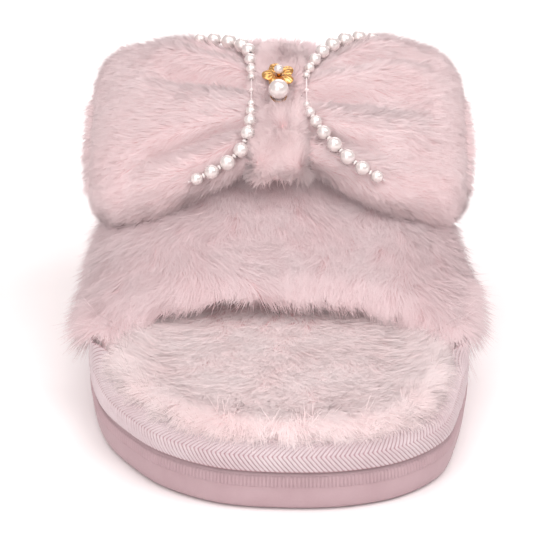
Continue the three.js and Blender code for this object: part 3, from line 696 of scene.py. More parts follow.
@dataclass(frozen=True)
class Pile:
    """How a pile's strands grow. Lengths in mm, lift in degrees from the skin, flattest in radians."""

    count: int
    length: float
    width: float
    lift: float
    lift_spread: float
    lock: float
    pull: float
    ragged: float
    stray: float
    seed: int
    sunk: float = 0.25
    flattest: float = 0.04

    def grow(
        self,
        name: str,
        roots: np.ndarray,
        normals: np.ndarray,
        comb: np.ndarray,
        grown: np.ndarray | float = 1.0,
        raised: np.ndarray | float = 1.0,
    ) -> Piece:
        """Makes a slender three-sided spike for each strand.

        Args:
            name: the piece's name.
            roots: where the strands stand.
            normals: the skin's outward normals there.
            comb: which way the pile is combed there.
            grown: a share of the full length for each strand.
            raised: a share of the lift for each strand.

        Returns:
            The piece, with a map of chance across and root to tip upwards.
        """
        rng = np.random.default_rng(self.seed)
        count = len(roots)
        centre, chance = lock_centres(roots, self.lock * MM, self.seed)
        turned = np.stack([np.cos(chance * 40), np.sin(chance * 40), np.sin(chance * 71)], 1)
        flow = unit(comb) + self.stray * (turned + 0.7 * rng.normal(size=(count, 3)))
        flow = unit(flow - (flow * normals).sum(1, keepdims=True) * normals)
        size = self.length * MM * grown * (1 - self.ragged * rng.random(count) ** 1.5)
        size = size * (0.9 + 0.2 * chance)
        angle = np.radians(raised * (self.lift + self.lift_spread * rng.normal(size=count)))[:, None]
        angle = np.maximum(angle, self.flattest)
        heading = unit(np.cos(angle) * flow + np.sin(angle) * normals)
        sunk = roots - normals * self.sunk * MM
        tip = sunk + heading * size[:, None]
        drawn = centre - roots
        drawn -= (drawn * normals).sum(1, keepdims=True) * normals
        tip += drawn * self.pull
        heading = unit(tip - sunk)
        across = unit(np.cross(heading, normals))
        up = np.cross(heading, across)
        half = (self.width * MM / 2) * rng.uniform(0.75, 1.25, count)[:, None]
        turn = rng.uniform(0, 2 * math.pi, count)[:, None]
        corners = []
        for third in range(3):
            around = turn + third * 2 * math.pi / 3
            corners.append(sunk + half * (across * np.cos(around) + up * np.sin(around)))
        corners = np.stack([*corners, tip], 1)
        shading = unit(normals + 0.12 * heading + 0.05 * rng.normal(size=(count, 3)))
        shading = np.repeat(shading[:, None], 4, 1)
        own = 0.01 + 0.98 * rng.random(count)
        uv = np.stack(
            [
                own[:, None] + np.array([-0.004, 0.0, 0.004, 0.0]),
                np.repeat([[0.0, 0.02, 0.0, 1.0]], count, 0),
            ],
            -1,
        )
        number = np.arange(count)[:, None] * 4
        faces = np.concatenate([number + np.array(t) for t in ([0, 1, 3], [1, 2, 3], [2, 0, 3])])
        piece = add_mesh(
            name, corners.reshape(-1, 3), [faces], shading.reshape(-1, 3), uv.reshape(-1, 2)
        )
        # Fine fibres pass light on to each other, so they don't shade one another.
        piece.visible_shadow = False
        return piece


def strands(count: int) -> int:
    return count


# ---- ground plan -----------------------------------------------------------------------------
@dataclass
class Last:
    """The sole's outline and the heights of its layers, in mm."""

    length: float = 250.0
    width: float = 104.0
    steps: int = 1440
    midsole: float = 11.5
    foam: float = 15.7
    fur: float = 19.0
    strap_front: float = -65.0
    strap_rear: float = 13.0
    turn: float = 11.0
    knots: tuple[tuple[float, float], ...] = (
        (3, 0), (18.5, 1.2), (32, 6.6), (42.7, 17.8), (47.2, 33), (51, 58), (51.5, 80),
        (46.5, 115), (41.5, 150), (39.5, 190), (37.5, 220), (25, 244), (0, 250), (-25, 244),
        (-38, 220), (-40.5, 188), (-44, 150), (-49, 112), (-52, 82), (-50.5, 54),
        (-46.5, 36), (-39.8, 23.2), (-30.9, 11.9), (-16, 2.8),
    )

    def __post_init__(self) -> None:
        """Draws the outline, evenly spaced, with its normals and half widths."""
        dense = self._curve(np.array(self.knots, float), 60)
        gaps = np.linalg.norm(np.roll(dense, -1, 0) - dense, axis=1)
        run = np.concatenate([[0], np.cumsum(gaps)])
        want = np.linspace(0, run[-1], self.steps, endpoint=False)
        closed = np.vstack([dense, dense[:1]])
        even = np.stack([np.interp(want, run, closed[:, k]) for k in (0, 1)], 1)
        low = even.min(0)
        size = even.max(0) - low
        self.edge = (even - low - size / 2) * np.array([self.width, self.length]) / size
        along = unit(np.roll(self.edge, -1, 0) - np.roll(self.edge, 1, 0))
        self.out = np.stack([along[:, 1], -along[:, 0]], 1)
        steps = np.linalg.norm(np.roll(self.edge, -1, 0) - self.edge, axis=1)
        self.run = np.concatenate([[0], np.cumsum(steps)])
        self.tables = {}
        for side in Side:
            mine = self.edge[self.edge[:, 0] * side.value > 0]
            self.tables[side] = mine[np.argsort(mine[:, 1])]

    @staticmethod
    def _curve(knots: np.ndarray, each: int) -> np.ndarray:
        """Draws a closed centripetal curve through the knots."""
        pieces = []
        t = np.linspace(0, 1, each, endpoint=False)[:, None]
        for i in range(len(knots)):
            p = [knots[(i + k) % len(knots)] for k in (-1, 0, 1, 2)]
            gap = [np.linalg.norm(p[k + 1] - p[k]) ** 0.5 for k in range(3)]
            first = (p[1] - p[0]) / gap[0] - (p[2] - p[0]) / (gap[0] + gap[1])
            first = (first + (p[2] - p[1]) / gap[1]) * gap[1]
            last = (p[2] - p[1]) / gap[1] - (p[3] - p[1]) / (gap[1] + gap[2])
            last = (last + (p[3] - p[2]) / gap[2]) * gap[1]
            bend = -3 * p[1] + 3 * p[2] - 2 * first - last
            twist = 2 * p[1] - 2 * p[2] + first + last
            pieces.append(p[1] + first * t + bend * t**2 + twist * t**3)
        return np.vstack(pieces)

    def ring(self, inset: np.ndarray | float, z: np.ndarray | float) -> np.ndarray:
        """The outline drawn in by an inset, at a height."""
        flat = self.edge - self.out * np.broadcast_to(inset, self.steps)[:, None]
        return np.column_stack([flat, np.broadcast_to(z, self.steps)])

    def at(self, run: np.ndarray) -> tuple[np.ndarray, np.ndarray]:
        """Places and outward normals at distances round the outline."""
        closed = np.vstack([self.edge, self.edge[:1]])
        out = np.vstack([self.out, self.out[:1]])
        run = np.mod(run, self.run[-1])
        place = np.stack([np.interp(run, self.run, closed[:, k]) for k in (0, 1)], -1)
        normal = np.stack([np.interp(run, self.run, out[:, k]) for k in (0, 1)], -1)
        return place, unit(normal)

    def half_width(self, y: np.ndarray, side: np.ndarray) -> np.ndarray:
        """Distance from the middle line to the edge at y, on the side of a sign."""
        right = np.interp(y, self.tables[Side.RIGHT][:, 1], self.tables[Side.RIGHT][:, 0])
        left = -np.interp(y, self.tables[Side.LEFT][:, 1], self.tables[Side.LEFT][:, 0])
        return np.where(side > 0, right, left)

    def beside_strap(self, y: np.ndarray) -> np.ndarray:
        """1 beside the strap, 0 along the open toe and heel."""
        rise = smooth(y, self.strap_front - 1.4 * self.turn, self.strap_front - 0.4 * self.turn)
        fall = smooth(y, self.strap_rear + 0.4 * self.turn, self.strap_rear + 1.4 * self.turn)
        return rise * (1 - fall)


@dataclass
class Arch:
    """The strap's arch over the foot, in mm."""

    last: Last
    base: float = 26.0
    power: float = 2.4
    inset: float = 0.3
    wall_inset: float = 1.75
    wall_top: float = 23.5
    front_crest: float = -55.0
    rear_crest: float = 25.0
    heights: tuple[float, float, float] = (39.0, 59.5, 74.0)

    def crest(self, y: np.ndarray) -> np.ndarray:
        """Height of the outer skin along the middle."""
        low, mid, high = self.heights
        t = (y - self.front_crest) / (self.rear_crest - self.front_crest)
        bend = 2 * (low + high - 2 * mid)
        return low + (high - low - bend) * t + bend * t * t

    def height(self, x: np.ndarray, y: np.ndarray) -> np.ndarray:
        """Height of the outer skin over a place."""
        wide = self.last.half_width(y, np.where(x < 0, -1, 1)) - self.inset
        out = np.minimum(np.abs(x) / wide, 1)
        rise = self.crest(y) - self.base
        return self.base + rise * (1 - out**self.power) ** (1 / self.power)

    def line(self, share: float, depth: float, ahead: float = 0.0, foot: float = 14.0) -> np.ndarray:
        """One line over the arch.

        Args:
            share: 0 at the front edge and 1 at the rear edge.
            depth: how far below the outer skin.
            ahead: how far the line is moved along y.
            foot: the height at which its walls end.

        Returns:
            Points from the left foot to the right one.
        """
        angle = np.linspace(0, math.pi, 150)
        side = np.where(angle < math.pi / 2, -1, 1)
        sine = np.abs(np.sin(angle))
        lift = sine**1.2
        front = self.last.strap_front + (self.front_crest - self.last.strap_front) * lift
        rear = self.last.strap_rear + (self.rear_crest - self.last.strap_rear) * lift
        y = front + (rear - front) * share + ahead
        wide = self.last.half_width(y, side) - self.inset - depth
        rise = self.crest(y) - depth - self.base
        x = side * wide * np.abs(np.cos(angle)) ** (2 / self.power)
        z = self.base + rise * sine ** (2 / self.power)
        arch = np.column_stack([x, y, z])
        low = np.linspace(foot, self.wall_top, 8)
        wall_y = np.full(8, y[0])
        walls = []
        for sign in (-1, 1):
            wall_x = sign * (self.last.half_width(wall_y, np.full(8, sign)) - self.wall_inset - depth)
            walls.append(np.column_stack([wall_x, wall_y, low]))
        return np.vstack([walls[0], arch, walls[1][::-1]])


# ---- sole ------------------------------------------------------------------------------------
@dataclass
class Sole:
    """The moulded outsole with its tread and ribbed toe, in mm."""

    last: Last
    profile: tuple[tuple[float, float], ...] = (
        (3.6, 0.0), (2.6, 0.12), (1.8, 0.4), (1.2, 0.8), (0.75, 1.4), (0.4, 2.2), (0.15, 3.4),
        (0.0, 5.0), (0.05, 6.8), (0.2, 8.6), (0.45, 10.0), (0.75, 10.8), (1.2, 11.15), (2.2, 11.2),
    )
    rim: float = 7.0
    floor: float = 4.6
    tread_depth: float = 1.6
    tread_width: float = 3.0
    tread_pitch: float = 12.0
    tread_end: float = 9.0
    tread_reach: float = 105.0
    draft: float = 0.15
    rib_pitch: float = 1.0
    rib_height: float = 0.5
    rib_from: float = 6.9
    rib_to: float = 10.3
    rib_reach: float = 118.0
    rib_fade: float = 14.0
    sunk: float = 0.15

    def build(self, finishes: Finishes) -> None:
        """Makes the outsole, cuts its tread, and adds the ribbed band round the toe."""
        rings = [self.last.ring(inset, z) for inset, z in self.profile]
        rings += [self.last.ring(self.rim, 11.2), self.last.ring(self.rim, self.floor)]
        rings += [self.last.ring(self.rim + 20, self.floor)]
        rings = [r[::4] for r in rings]
        points = np.vstack(rings) * MM
        across = len(rings[0])
        faces = grid_faces(len(rings), across, True)
        ends = [np.arange(across)[None, ::-1], np.arange(across)[None] + across * (len(rings) - 1)]
        sole = add_mesh("outsole_moulded", points, [faces, *ends])
        cutters = self._tread()
        cut = sole.modifiers.new("tread", "BOOLEAN")
        cut.operation = "DIFFERENCE"
        cut.solver = "EXACT"
        cut.object = cutters
        bpy.context.view_layer.objects.active = sole
        bpy.ops.object.modifier_apply(modifier=cut.name)
        bpy.data.objects.remove(cutters)
        crease_shading(sole, 38)
        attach(dress(sole, finishes.get(SOLE_RUBBER)), Body.SLIPPER.value)
        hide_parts("outsole")
        band = self._ribs()
        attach(dress(band, finishes.get(SOLE_RUBBER)), Body.SLIPPER.value)

    def _tread(self) -> Piece:
        """The bars that cut the tread's straight grooves, each ending short of the edge."""
        half = self.tread_width / 2
        narrow = half - self.draft
        top = self.tread_depth
        section = np.array([(-half, -1), (half, -1), (narrow, top), (-narrow, top)])
        points = []
        faces = []
        for y in np.arange(-self.tread_reach, self.tread_reach, self.tread_pitch):
            left = self.tread_end - float(self.last.half_width(y, -1))
            right = float(self.last.half_width(y, 1)) - self.tread_end
            first = 4 * len(points)
            for x in (left, right):
                points.append(np.column_stack([np.full(4, x), y + section[:, 0], section[:, 1]]))
            faces.append(grid_faces(2, 4, True, first))
            faces.append(np.array([[3, 2, 1, 0], [4, 5, 6, 7]]) + first)
        return add_mesh("tread_bars", np.vstack(points) * MM, faces)

    def _ribs(self) -> Piece:
        """Fine upright ribs on the wall just under the tape, fading out beside the ball."""
        reach = self.rib_reach
        columns = int(2 * reach / (self.rib_pitch / 5))
        run = np.linspace(-reach, reach, columns)
        place, out = self.last.at(run)
        rows = []
        for z in np.linspace(self.rib_from, self.rib_to, 9):
            inset = np.interp(z, [p[1] for p in self.profile], [p[0] for p in self.profile])
            edge = smooth(z, self.rib_from, self.rib_from + 0.5)
            edge = edge * (1 - smooth(z, self.rib_to - 0.5, self.rib_to))
            fade = 1 - smooth(np.abs(run), reach - self.rib_fade, reach - 1)
            wave = np.abs(np.cos(math.pi * run / self.rib_pitch)) ** 0.7
            proud = -self.sunk + (self.sunk + self.rib_height * wave) * edge * fade
            flat = place + out * (proud - inset)[:, None]
            rows.append(np.column_stack([flat, np.full(columns, z)]))
        return Skin(np.stack(rows) * MM, turn=-1).mesh("outsole_toe_ribs")


@dataclass
class EdgeTape:
    """The woven tape that covers the midsole's edge, in mm."""

    last: Last
    rise: float = 2.5
    bend: float = 1.3
    flange: float = 4.9
    yarn: float = 1.25
    chevron: float = 4.1

    def build(self, finishes: Finishes) -> None:
        """Weaves the tape: yarn ribs that slope one way, then the other, and meet in chevrons."""
        total = self.last.run[-1]
        ribs = int(total / self.yarn)
        each = 5
        columns = ribs * each
        run = np.arange(columns) * total / columns
        across = np.linspace(0, self.rise + 3 * self.bend + self.flange, 31)
        rib = np.abs(np.sin(math.pi * np.arange(columns) / each)) ** 0.75
        rng = np.random.default_rng(11)
        loose = np.repeat(rng.uniform(0.85, 1.1, ribs), each)
        rows = []
        shades = []
        for c in across:
            slope = abs(c - self.chevron) * 0.9
            place, out = self.last.at(run + slope)
            inset, z, tilt = self._section(c, place[:, 1])
            near = min(c, across[-1] - c)
            selvedge = float(smooth(near, 0.0, 0.7))
            valley = 0.55 + 0.45 * float(smooth(abs(c - self.chevron), 0, 0.5))
            height = 0.1 + 0.5 * rib * loose * selvedge * valley
            flat = place + out * (height * np.sin(tilt) - inset)[:, None]
            rows.append(np.column_stack([flat, z + height * np.cos(tilt)]))
            # The share that the material paints shade from: darkest in the grooves, along the chevron's
            # valley and at the selvedges.
            shades.append(rib * selvedge * valley)
        inner_inset, inner_z, _ = self._section(across[-1], place[:, 1])
        flat = place - out * (inner_inset + 0.2)[:, None]
        rows.append(np.column_stack([flat, inner_z - 1.0]))
        shades.append(np.zeros(columns))
        skin = Skin(np.stack(rows) * MM, round_trip=True, turn=-1)
        tape = skin.mesh("edge_tape_herringbone")
        mark_height(tape, np.stack(shades))
        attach(dress(tape, finishes.get(TAPE_WEAVE)), Body.SLIPPER.value)
        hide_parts("edge_tape")

    def _section(self, c: float, y: np.ndarray) -> tuple[np.ndarray, np.ndarray, np.ndarray]:
        """The tape's section at a distance across it.

        Args:
            c: distance from the lower edge along the tape's outer face.
            y: where along the sole, for how far the tape rolls in.

        Returns:
            Inset, height and the face's outward tilt, for each y.
        """
        end = np.radians(3 + 85 * self.last.beside_strap(y))
        up = math.pi / 2
        inset = np.zeros(len(y))
        z = np.full(len(y), self.last.midsole)
        tilt = np.full(len(y), up)
        left = c
        lengths = [(self.rise, 0.0), (self.bend, 0.25), (self.bend, 0.5), (self.bend, 0.75)]
        lengths.append((self.flange, 1.0))
        for length, share in lengths:
            step = min(left, length)
            tilt = up + (end - up) * share
            inset = inset + step * np.cos(tilt)
            z = z + step * np.sin(tilt)
            left -= step
            if left <= 0:
                break
        return inset, z, tilt


@dataclass
class Footbed:
    """The cushion under the foot and its long pile, in mm."""

    last: Last
    inset: float = 10.2
    spread: float = 2.2
    drop: float = 3.1
    seam: float = -22.0
    under_strap: tuple[float, float] = (-58.0, 22.0)
    worn_share: float = 0.35
    parting: tuple[float, float] = (-78.0, 82.0)
    pile: Pile = Pile(66000, 9.5, 0.36, 27, 10, 4.5, 0.22, 0.3, 0.3, 41)

    def _layer(
        self, sections: tuple[tuple[float, float, float], ...], spread: float, drop: float
    ) -> np.ndarray:
        """Rings from an outline in towards the middle.

        Args:
            sections: inset, share drawn in and height of each ring.
            spread: how far the rings reach out where there is no strap beside them.
            drop: how far the lowest rings come down there.

        Returns:
            Rows of points in metres.
        """
        reach = self.last.length * 0.3
        rings = []
        clear = 1 - self.last.beside_strap(self.last.edge[:, 1])
        for number, (inset, share, z) in enumerate(sections):
            lower = drop * clear * max(0.0, 1 - number / 4)
            ring = self.last.ring(inset - spread * clear, z - lower)[::4]
            middle = np.column_stack(
                [np.zeros(len(ring)), np.clip(ring[:, 1], -reach, reach), ring[:, 2]]
            )
            rings.append(ring + (middle - ring) * share)
        return np.stack(rings) * MM

    def build(self, finishes: Finishes) -> None:
        """Makes the foam, the pile's ground and two halves of pile."""
        low = self.last.foam
        foam = self._layer(
            (
                (self.inset + 1.5, 0.9, low), (self.inset + 0.6, 0, low), (self.inset, 0, low + 1),
                (self.inset + 0.3, 0, low + 2), (self.inset + 0.9, 0, low + 2.7),
                (self.inset + 0.9, 0.12, low + 2.95), (self.inset + 0.9, 0.6, low + 3),
                (self.inset + 0.9, 0.98, low + 3),
            ),
            0.0,
            0.0,
        )
        core = Skin(foam, round_trip=True, turn=-1).mesh("footbed_cushion_foam")
        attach(dress(core, finishes.get(CUSHION_FOAM)), Body.SLIPPER.value)
        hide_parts("footbed_foam")
        top = self.last.fur
        ground = self._layer(
            (
                (self.inset + 0.8, 0.0, top), (self.inset + 0.2, 0, top + 0.1),
                (self.inset + 0.2, 0, top + 0.5), (self.inset + 0.3, 0, top + 1.0),
                (self.inset + 0.6, 0, top + 1.7), (self.inset + 0.8, 0.03, top + 2.4),
                (self.inset + 0.8, 0.08, top + 2.8), (self.inset + 0.8, 0.2, top + 3.0),
                (self.inset + 0.8, 0.4, top + 3.1), (self.inset + 0.8, 0.6, top + 3.15),
                (self.inset + 0.8, 0.8, top + 3.15), (self.inset + 0.8, 0.99, top + 3.15),
            ),
            self.spread,
            self.drop,
        )
        skin = Skin(ground, round_trip=True, turn=-1)
        base = skin.mesh("footbed_pile_ground")
        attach(dress(base, finishes.get(PILE_GROUND)), Body.SLIPPER.value)
        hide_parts("footbed_fur")
        rng = np.random.default_rng(self.pile.seed)
        middle_y = (skin.wide_points[1:, 1:, 1] + skin.wide_points[:-1, :-1, 1]) / 2 / MM
        for name, front in (("front", True), ("rear", False)):
            half = (middle_y < self.seam) if front else (middle_y >= self.seam)
            open_air = (middle_y < self.under_strap[0]) | (middle_y > self.under_strap[1])
            share = self.worn_share + (1 - self.worn_share) * open_air
            roots, normals = skin.scatter(strands(self.pile.count), rng, half * share)
            place = roots / MM
            outwards = np.zeros_like(place)
            axis = np.clip(place[:, 1], *self.parting)
            outwards[:, :2] = place[:, :2] - np.column_stack([np.zeros(len(place)), axis])
            reach = np.linalg.norm(outwards, axis=1, keepdims=True)
            wide = self.last.half_width(axis, place[:, 0])[:, None] - self.inset + self.spread
            near = reach / wide
            comb = unit(outwards) * (0.7 * smooth(near, 0.25, 0.6) + 3.2 * smooth(near, 0.62, 0.92))
            comb[:, 1] += 1.6 * smooth(place[:, 1], -25, 25) - 0.8
            comb += 0.28 * lattice_noise(roots, 0.03, 5)
            raised = 0.45 + 0.5 * smooth(near[:, 0], 0.5, 0.95)
            fur = self.pile.grow(f"footbed_pile_{name}", roots, normals, comb, raised=raised)
            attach(dress(fur, finishes.get(FOOTBED_PILE)), Body.SLIPPER.value)


# ---- strap -----------------------------------------------------------------------------------
@dataclass
class Strap:
    """The band over the foot: long pile outside, fleece lining inside, in mm."""

    arch: Arch
    nose: float = 3.6
    skin_depth: float = 1.2
    lining_depth: float = 6.6
    lining_thick: float = 1.2
    fur_floor: tuple[float, float] = (21.5, 23.5)
    rear_clip: tuple[float, float] = (8.0, 20.0)
    clip: float = 0.55
    pile: Pile = Pile(66000, 10.5, 0.34, 19, 8, 4.2, 0.3, 0.35, 0.25, 61)

    def _outer(self) -> Skin:
        """The pile's ground: the outer skin with both edges turned in over the lining."""
        lines = []
        deep = self.skin_depth
        for turn in np.linspace(0.9, 0, 9, endpoint=False):
            angle = turn * math.pi
            depth = deep + self.nose * (1 - math.cos(angle))
            lines.append(self.arch.line(0, depth, -self.nose * math.sin(angle)))
        lines += [self.arch.line(share, deep) for share in np.linspace(0, 1, 34)]
        for turn in np.linspace(0.1, 0.9, 9):
            angle = turn * math.pi
            depth = deep + self.nose * (1 - math.cos(angle))
            lines.append(self.arch.line(1, depth, self.nose * math.sin(angle)))
        return Skin(np.stack(lines) * MM, turn=-1)

    def build(self, finishes: Finishes) -> None:
        """Makes the ground, the lining and two halves of pile."""
        skin = self._outer()
        ground = skin.mesh("strap_pile_ground")
        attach(dress(ground, finishes.get(PILE_GROUND)), Body.SLIPPER.value)
        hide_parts("strap_shell")
        self._lining(finishes)
        rng = np.random.default_rng(self.pile.seed)
        columns = skin.areas.shape[1]
        for side in Side:
            half = np.zeros(skin.areas.shape)
            if side is Side.LEFT:
                half[:, : columns // 2] = 1
            else:
                half[:, columns // 2 :] = 1
            middle_z = (skin.points[1:, 1:, 2] + skin.points[:-1, :-1, 2]) / 2 / MM
            half *= smooth(middle_z, *self.fur_floor)
            half *= smooth(skin.normals[1:, 1:, 2], -0.3, 0.05)
            roots, normals = skin.scatter(strands(self.pile.count), rng, half)
            comb = self._combed(roots, normals)
            low = 1 - smooth(roots[:, 2] / MM, 22, 36)
            rear = smooth(roots[:, 1] / MM, *self.rear_clip)
            clipped = self.clip * (smooth(-normals[:, 1], 0.72, 0.95) + rear)
            grown = (1.0 + 0.4 * low) * (1 - clipped * (1 - low))
            fur = self.pile.grow(f"strap_pile_{side.word}", roots, normals, comb, grown)
            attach(dress(fur, finishes.get(LONG_PILE)), Body.SLIPPER.value)

    def _combed(self, roots: np.ndarray, normals: np.ndarray) -> np.ndarray:
        """Which way the long pile lies: forwards and down, fanned out to the sides."""
        place = roots / MM
        comb = np.zeros_like(place)
        low = 1 - smooth(place[:, 2], 24, 40)
        comb[:, 0] = 0.5 * place[:, 0] / 50
        comb[:, 1] = -0.9 + 0.5 * low
        comb[:, 2] = -0.5 - 1.1 * low
        rear = smooth(place[:, 1], 14, 26)
        comb[:, 1] += 1.7 * rear
        return comb + 0.5 * lattice_noise(roots, 0.03, 9)

    def _lining(self, finishes: Finishes) -> None:
        """The fleece lining, closed round its edges."""
        lines = []
        outer = self.lining_depth
        inner = self.lining_depth + self.lining_thick
        for share in np.linspace(0, 1, 30):
            lines.append(self.arch.line(share, outer, foot=15.8))
        for depth in np.linspace(outer + 0.3, inner - 0.3, 2):
            lines.append(self.arch.line(1, depth, 0.15, foot=15.8))
        for share in np.linspace(1, 0, 30):
            lines.append(self.arch.line(share, inner, foot=15.8))
        for depth in np.linspace(inner - 0.3, outer + 0.3, 2):
            lines.append(self.arch.line(0, depth, -0.15, foot=15.8))
        lines.append(lines[0])
        lining = Skin(np.stack(lines) * MM, turn=-1).mesh("strap_fleece_lining")
        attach(dress(lining, finishes.get(LINING_FLEECE)), Body.SLIPPER.value)
        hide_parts("strap_lining")


# ---- bow -------------------------------------------------------------------------------------
@dataclass
class BowFrame:
    """The bow's own axes on the strap's slope: x across, v down the slope, n out of it. In mm."""

    arch: Arch
    place: float = -14.0
    stand_off: float = 10.6
    knot_wide: float = 5.6
    knot_flare: float = 1.6
    knot_deep: float = 26.0
    knot_thick: float = 8.0
    knot_power: float = 2.6
    span: float = 53.5
    power: float = 2.3

    def __post_init__(self) -> None:
        """Finds the slope under the bow and its middle."""
        rise = self.arch.crest(self.place + 1) - self.arch.crest(self.place - 1)
        tilt = math.atan(rise / 2)
        self.down = np.array([0, -math.cos(tilt), -math.sin(tilt)])
        self.out = np.array([0, -math.sin(tilt), math.cos(tilt)])
        foot = np.array([0, self.place, float(self.arch.crest(self.place))])
        self.middle = foot + self.out * self.stand_off

    def point(self, x: np.ndarray, v: np.ndarray, n: np.ndarray) -> np.ndarray:
        """Turns the bow's own places into the slipper's, in mm."""
        x, v, n = np.broadcast_arrays(x, v, n)
        place = self.middle + v[..., None] * self.down + n[..., None] * self.out
        place[..., 0] += x
        return place

    def knot_half(self, v: np.ndarray) -> np.ndarray:
        """Half the knot's width at v."""
        return self.knot_wide + self.knot_flare * (np.clip(v / self.knot_deep, -1, 1)) ** 2

    def loop_size(self, s: np.ndarray) -> tuple[np.ndarray, np.ndarray, np.ndarray]:
        """Half depth, half thickness and droop of a loop, from its neck to its end."""

        def grow(part: float) -> np.ndarray:
            """Rises from 0 at the neck to 1."""
            return np.sin(np.minimum(s / part, 1) * math.pi / 2)

        past = np.clip((s - 0.78) / 0.22, 0, 1)
        blunt = np.sqrt(1 - past * past)
        half = (20 + 10 * grow(0.6)) * (1 - 0.36 * (1 - blunt))
        thick = (6.5 + 7 * grow(0.75)) * (0.35 + 0.65 * blunt)
        return half, thick, -14 * s**1.1


@dataclass(frozen=True)
class Pleat:
    """A fold that runs out from the knot: its angle round the loop at each end, reach, size."""

    near: float
    far: float
    begin: float
    end: float
    depth: float
    width: float


@dataclass
class Loop:
    """One stuffed loop of the bow and its sheared pile, in mm."""

    frame: BowFrame
    side: Side
    pleats: tuple[Pleat, ...]
    cover: float = 1.5
    stuffing: float = 4.2
    end_bulge: float = 2.0
    rear_fullness: float = 0.13
    pile: Pile = Pile(66000, 5.2, 0.32, 27, 8, 2.2, 0.12, 0.25, 0.25, 83)

    def _skin(self, depth: float, folded: bool, rows: int, columns: int) -> Skin:
        """The loop's skin at a depth under its outer surface, closed at its far end."""
        s = np.concatenate([np.linspace(0, 1, rows), np.ones(9)])
        cap = np.concatenate([np.zeros(rows), np.linspace(0.12, 0.995, 9)])
        angle = np.linspace(0, 2 * math.pi, columns, endpoint=False)[None]
        s = s[:, None]
        cap = cap[:, None] * math.pi / 2
        half, thick, droop = self.frame.loop_size(s)
        fold = np.zeros((len(s), columns))
        if folded:
            fold = self._fold(s, angle) * np.cos(cap)
        sink = depth + fold
        full = 1 + self.rear_fullness * smooth(s, 0.15, 0.6) * (np.cos(angle) < 0)
        v = (half * full - sink) * signed_power(np.cos(angle), 2 / self.frame.power) * np.cos(cap)
        n = (thick - sink) * signed_power(np.sin(angle), 2 / self.frame.power) * np.cos(cap)
        begin = self.frame.knot_half(v) + 0.5
        end = self.frame.span - depth - self.end_bulge * 0.6
        x = begin + s * (end - begin) + self.end_bulge * np.sin(cap)
        place = self.frame.point(self.side.value * x, v, droop + n)
        under = self.frame.arch.height(place[..., 0], place[..., 1]) + 0.9 + 1.15 * depth
        place[..., 2] = np.maximum(place[..., 2], under)
        return Skin(place * MM, round_trip=True, turn=self.side.value)

    def _fold(self, s: np.ndarray, angle: np.ndarray) -> np.ndarray:
        """How far the pleats draw the skin in."""
        drawn = np.zeros((len(s), angle.shape[1]))
        for pleat in self.pleats:
            at = pleat.near + (pleat.far - pleat.near) * s
            apart = (angle - np.radians(at) + math.pi) % (2 * math.pi) - math.pi
            wide = math.radians(pleat.width) * (0.7 + 0.6 * s)
            reach = smooth(s, pleat.begin - 0.12, pleat.begin + 0.1)
            reach = reach * (1 - smooth(s, pleat.end - 0.25, pleat.end))
            valley = np.exp(-((apart / wide) ** 2))
            lips = np.exp(-(((np.abs(apart) - 1.9 * wide) / (0.9 * wide)) ** 2))
            drawn += pleat.depth * reach * (valley - 0.32 * lips)
        soft = 0.35 * np.sin(3 * angle + 9 * s) + 0.3 * np.sin(5 * angle - 7 * s + self.side.value)
        return drawn + soft * smooth(s, 0.05, 0.4)

    def build(self, finishes: Finishes) -> None:
        """Makes the cover's ground, the stuffing and the pile."""
        word = self.side.word
        skin = self._skin(self.cover, True, 64, 120)
        ground = skin.mesh(f"{word}_loop_plush_ground")
        dress(ground, finishes.get(PILE_GROUND))
        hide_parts(f"{word}_loop_cover")
        filling = self._skin(self.stuffing, True, 40, 72).mesh(f"{word}_loop_fibre_filling")
        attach(dress(filling, finishes.get(STUFFING_FIBRE)), self.side.body.value)
        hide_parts(f"{word}_loop_stuffing")
        rng = np.random.default_rng(self.pile.seed + self.side.value)
        roots, normals = skin.scatter(strands(self.pile.count), rng)
        comb = np.tile([self.side.value * 1.0, -0.25, -0.35], (len(roots), 1))
        comb[:, 2] -= 1.3 * smooth(np.abs(roots[:, 0]) / MM, 48, 53)
        comb += 0.3 * lattice_noise(roots, 0.02, 21 + self.side.value)
        fur = self.pile.grow(f"{word}_loop_plush_pile", roots, normals, comb)
        dress(fur, finishes.get(BOW_PILE))
        for piece in (ground, fur):
            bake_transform(piece)


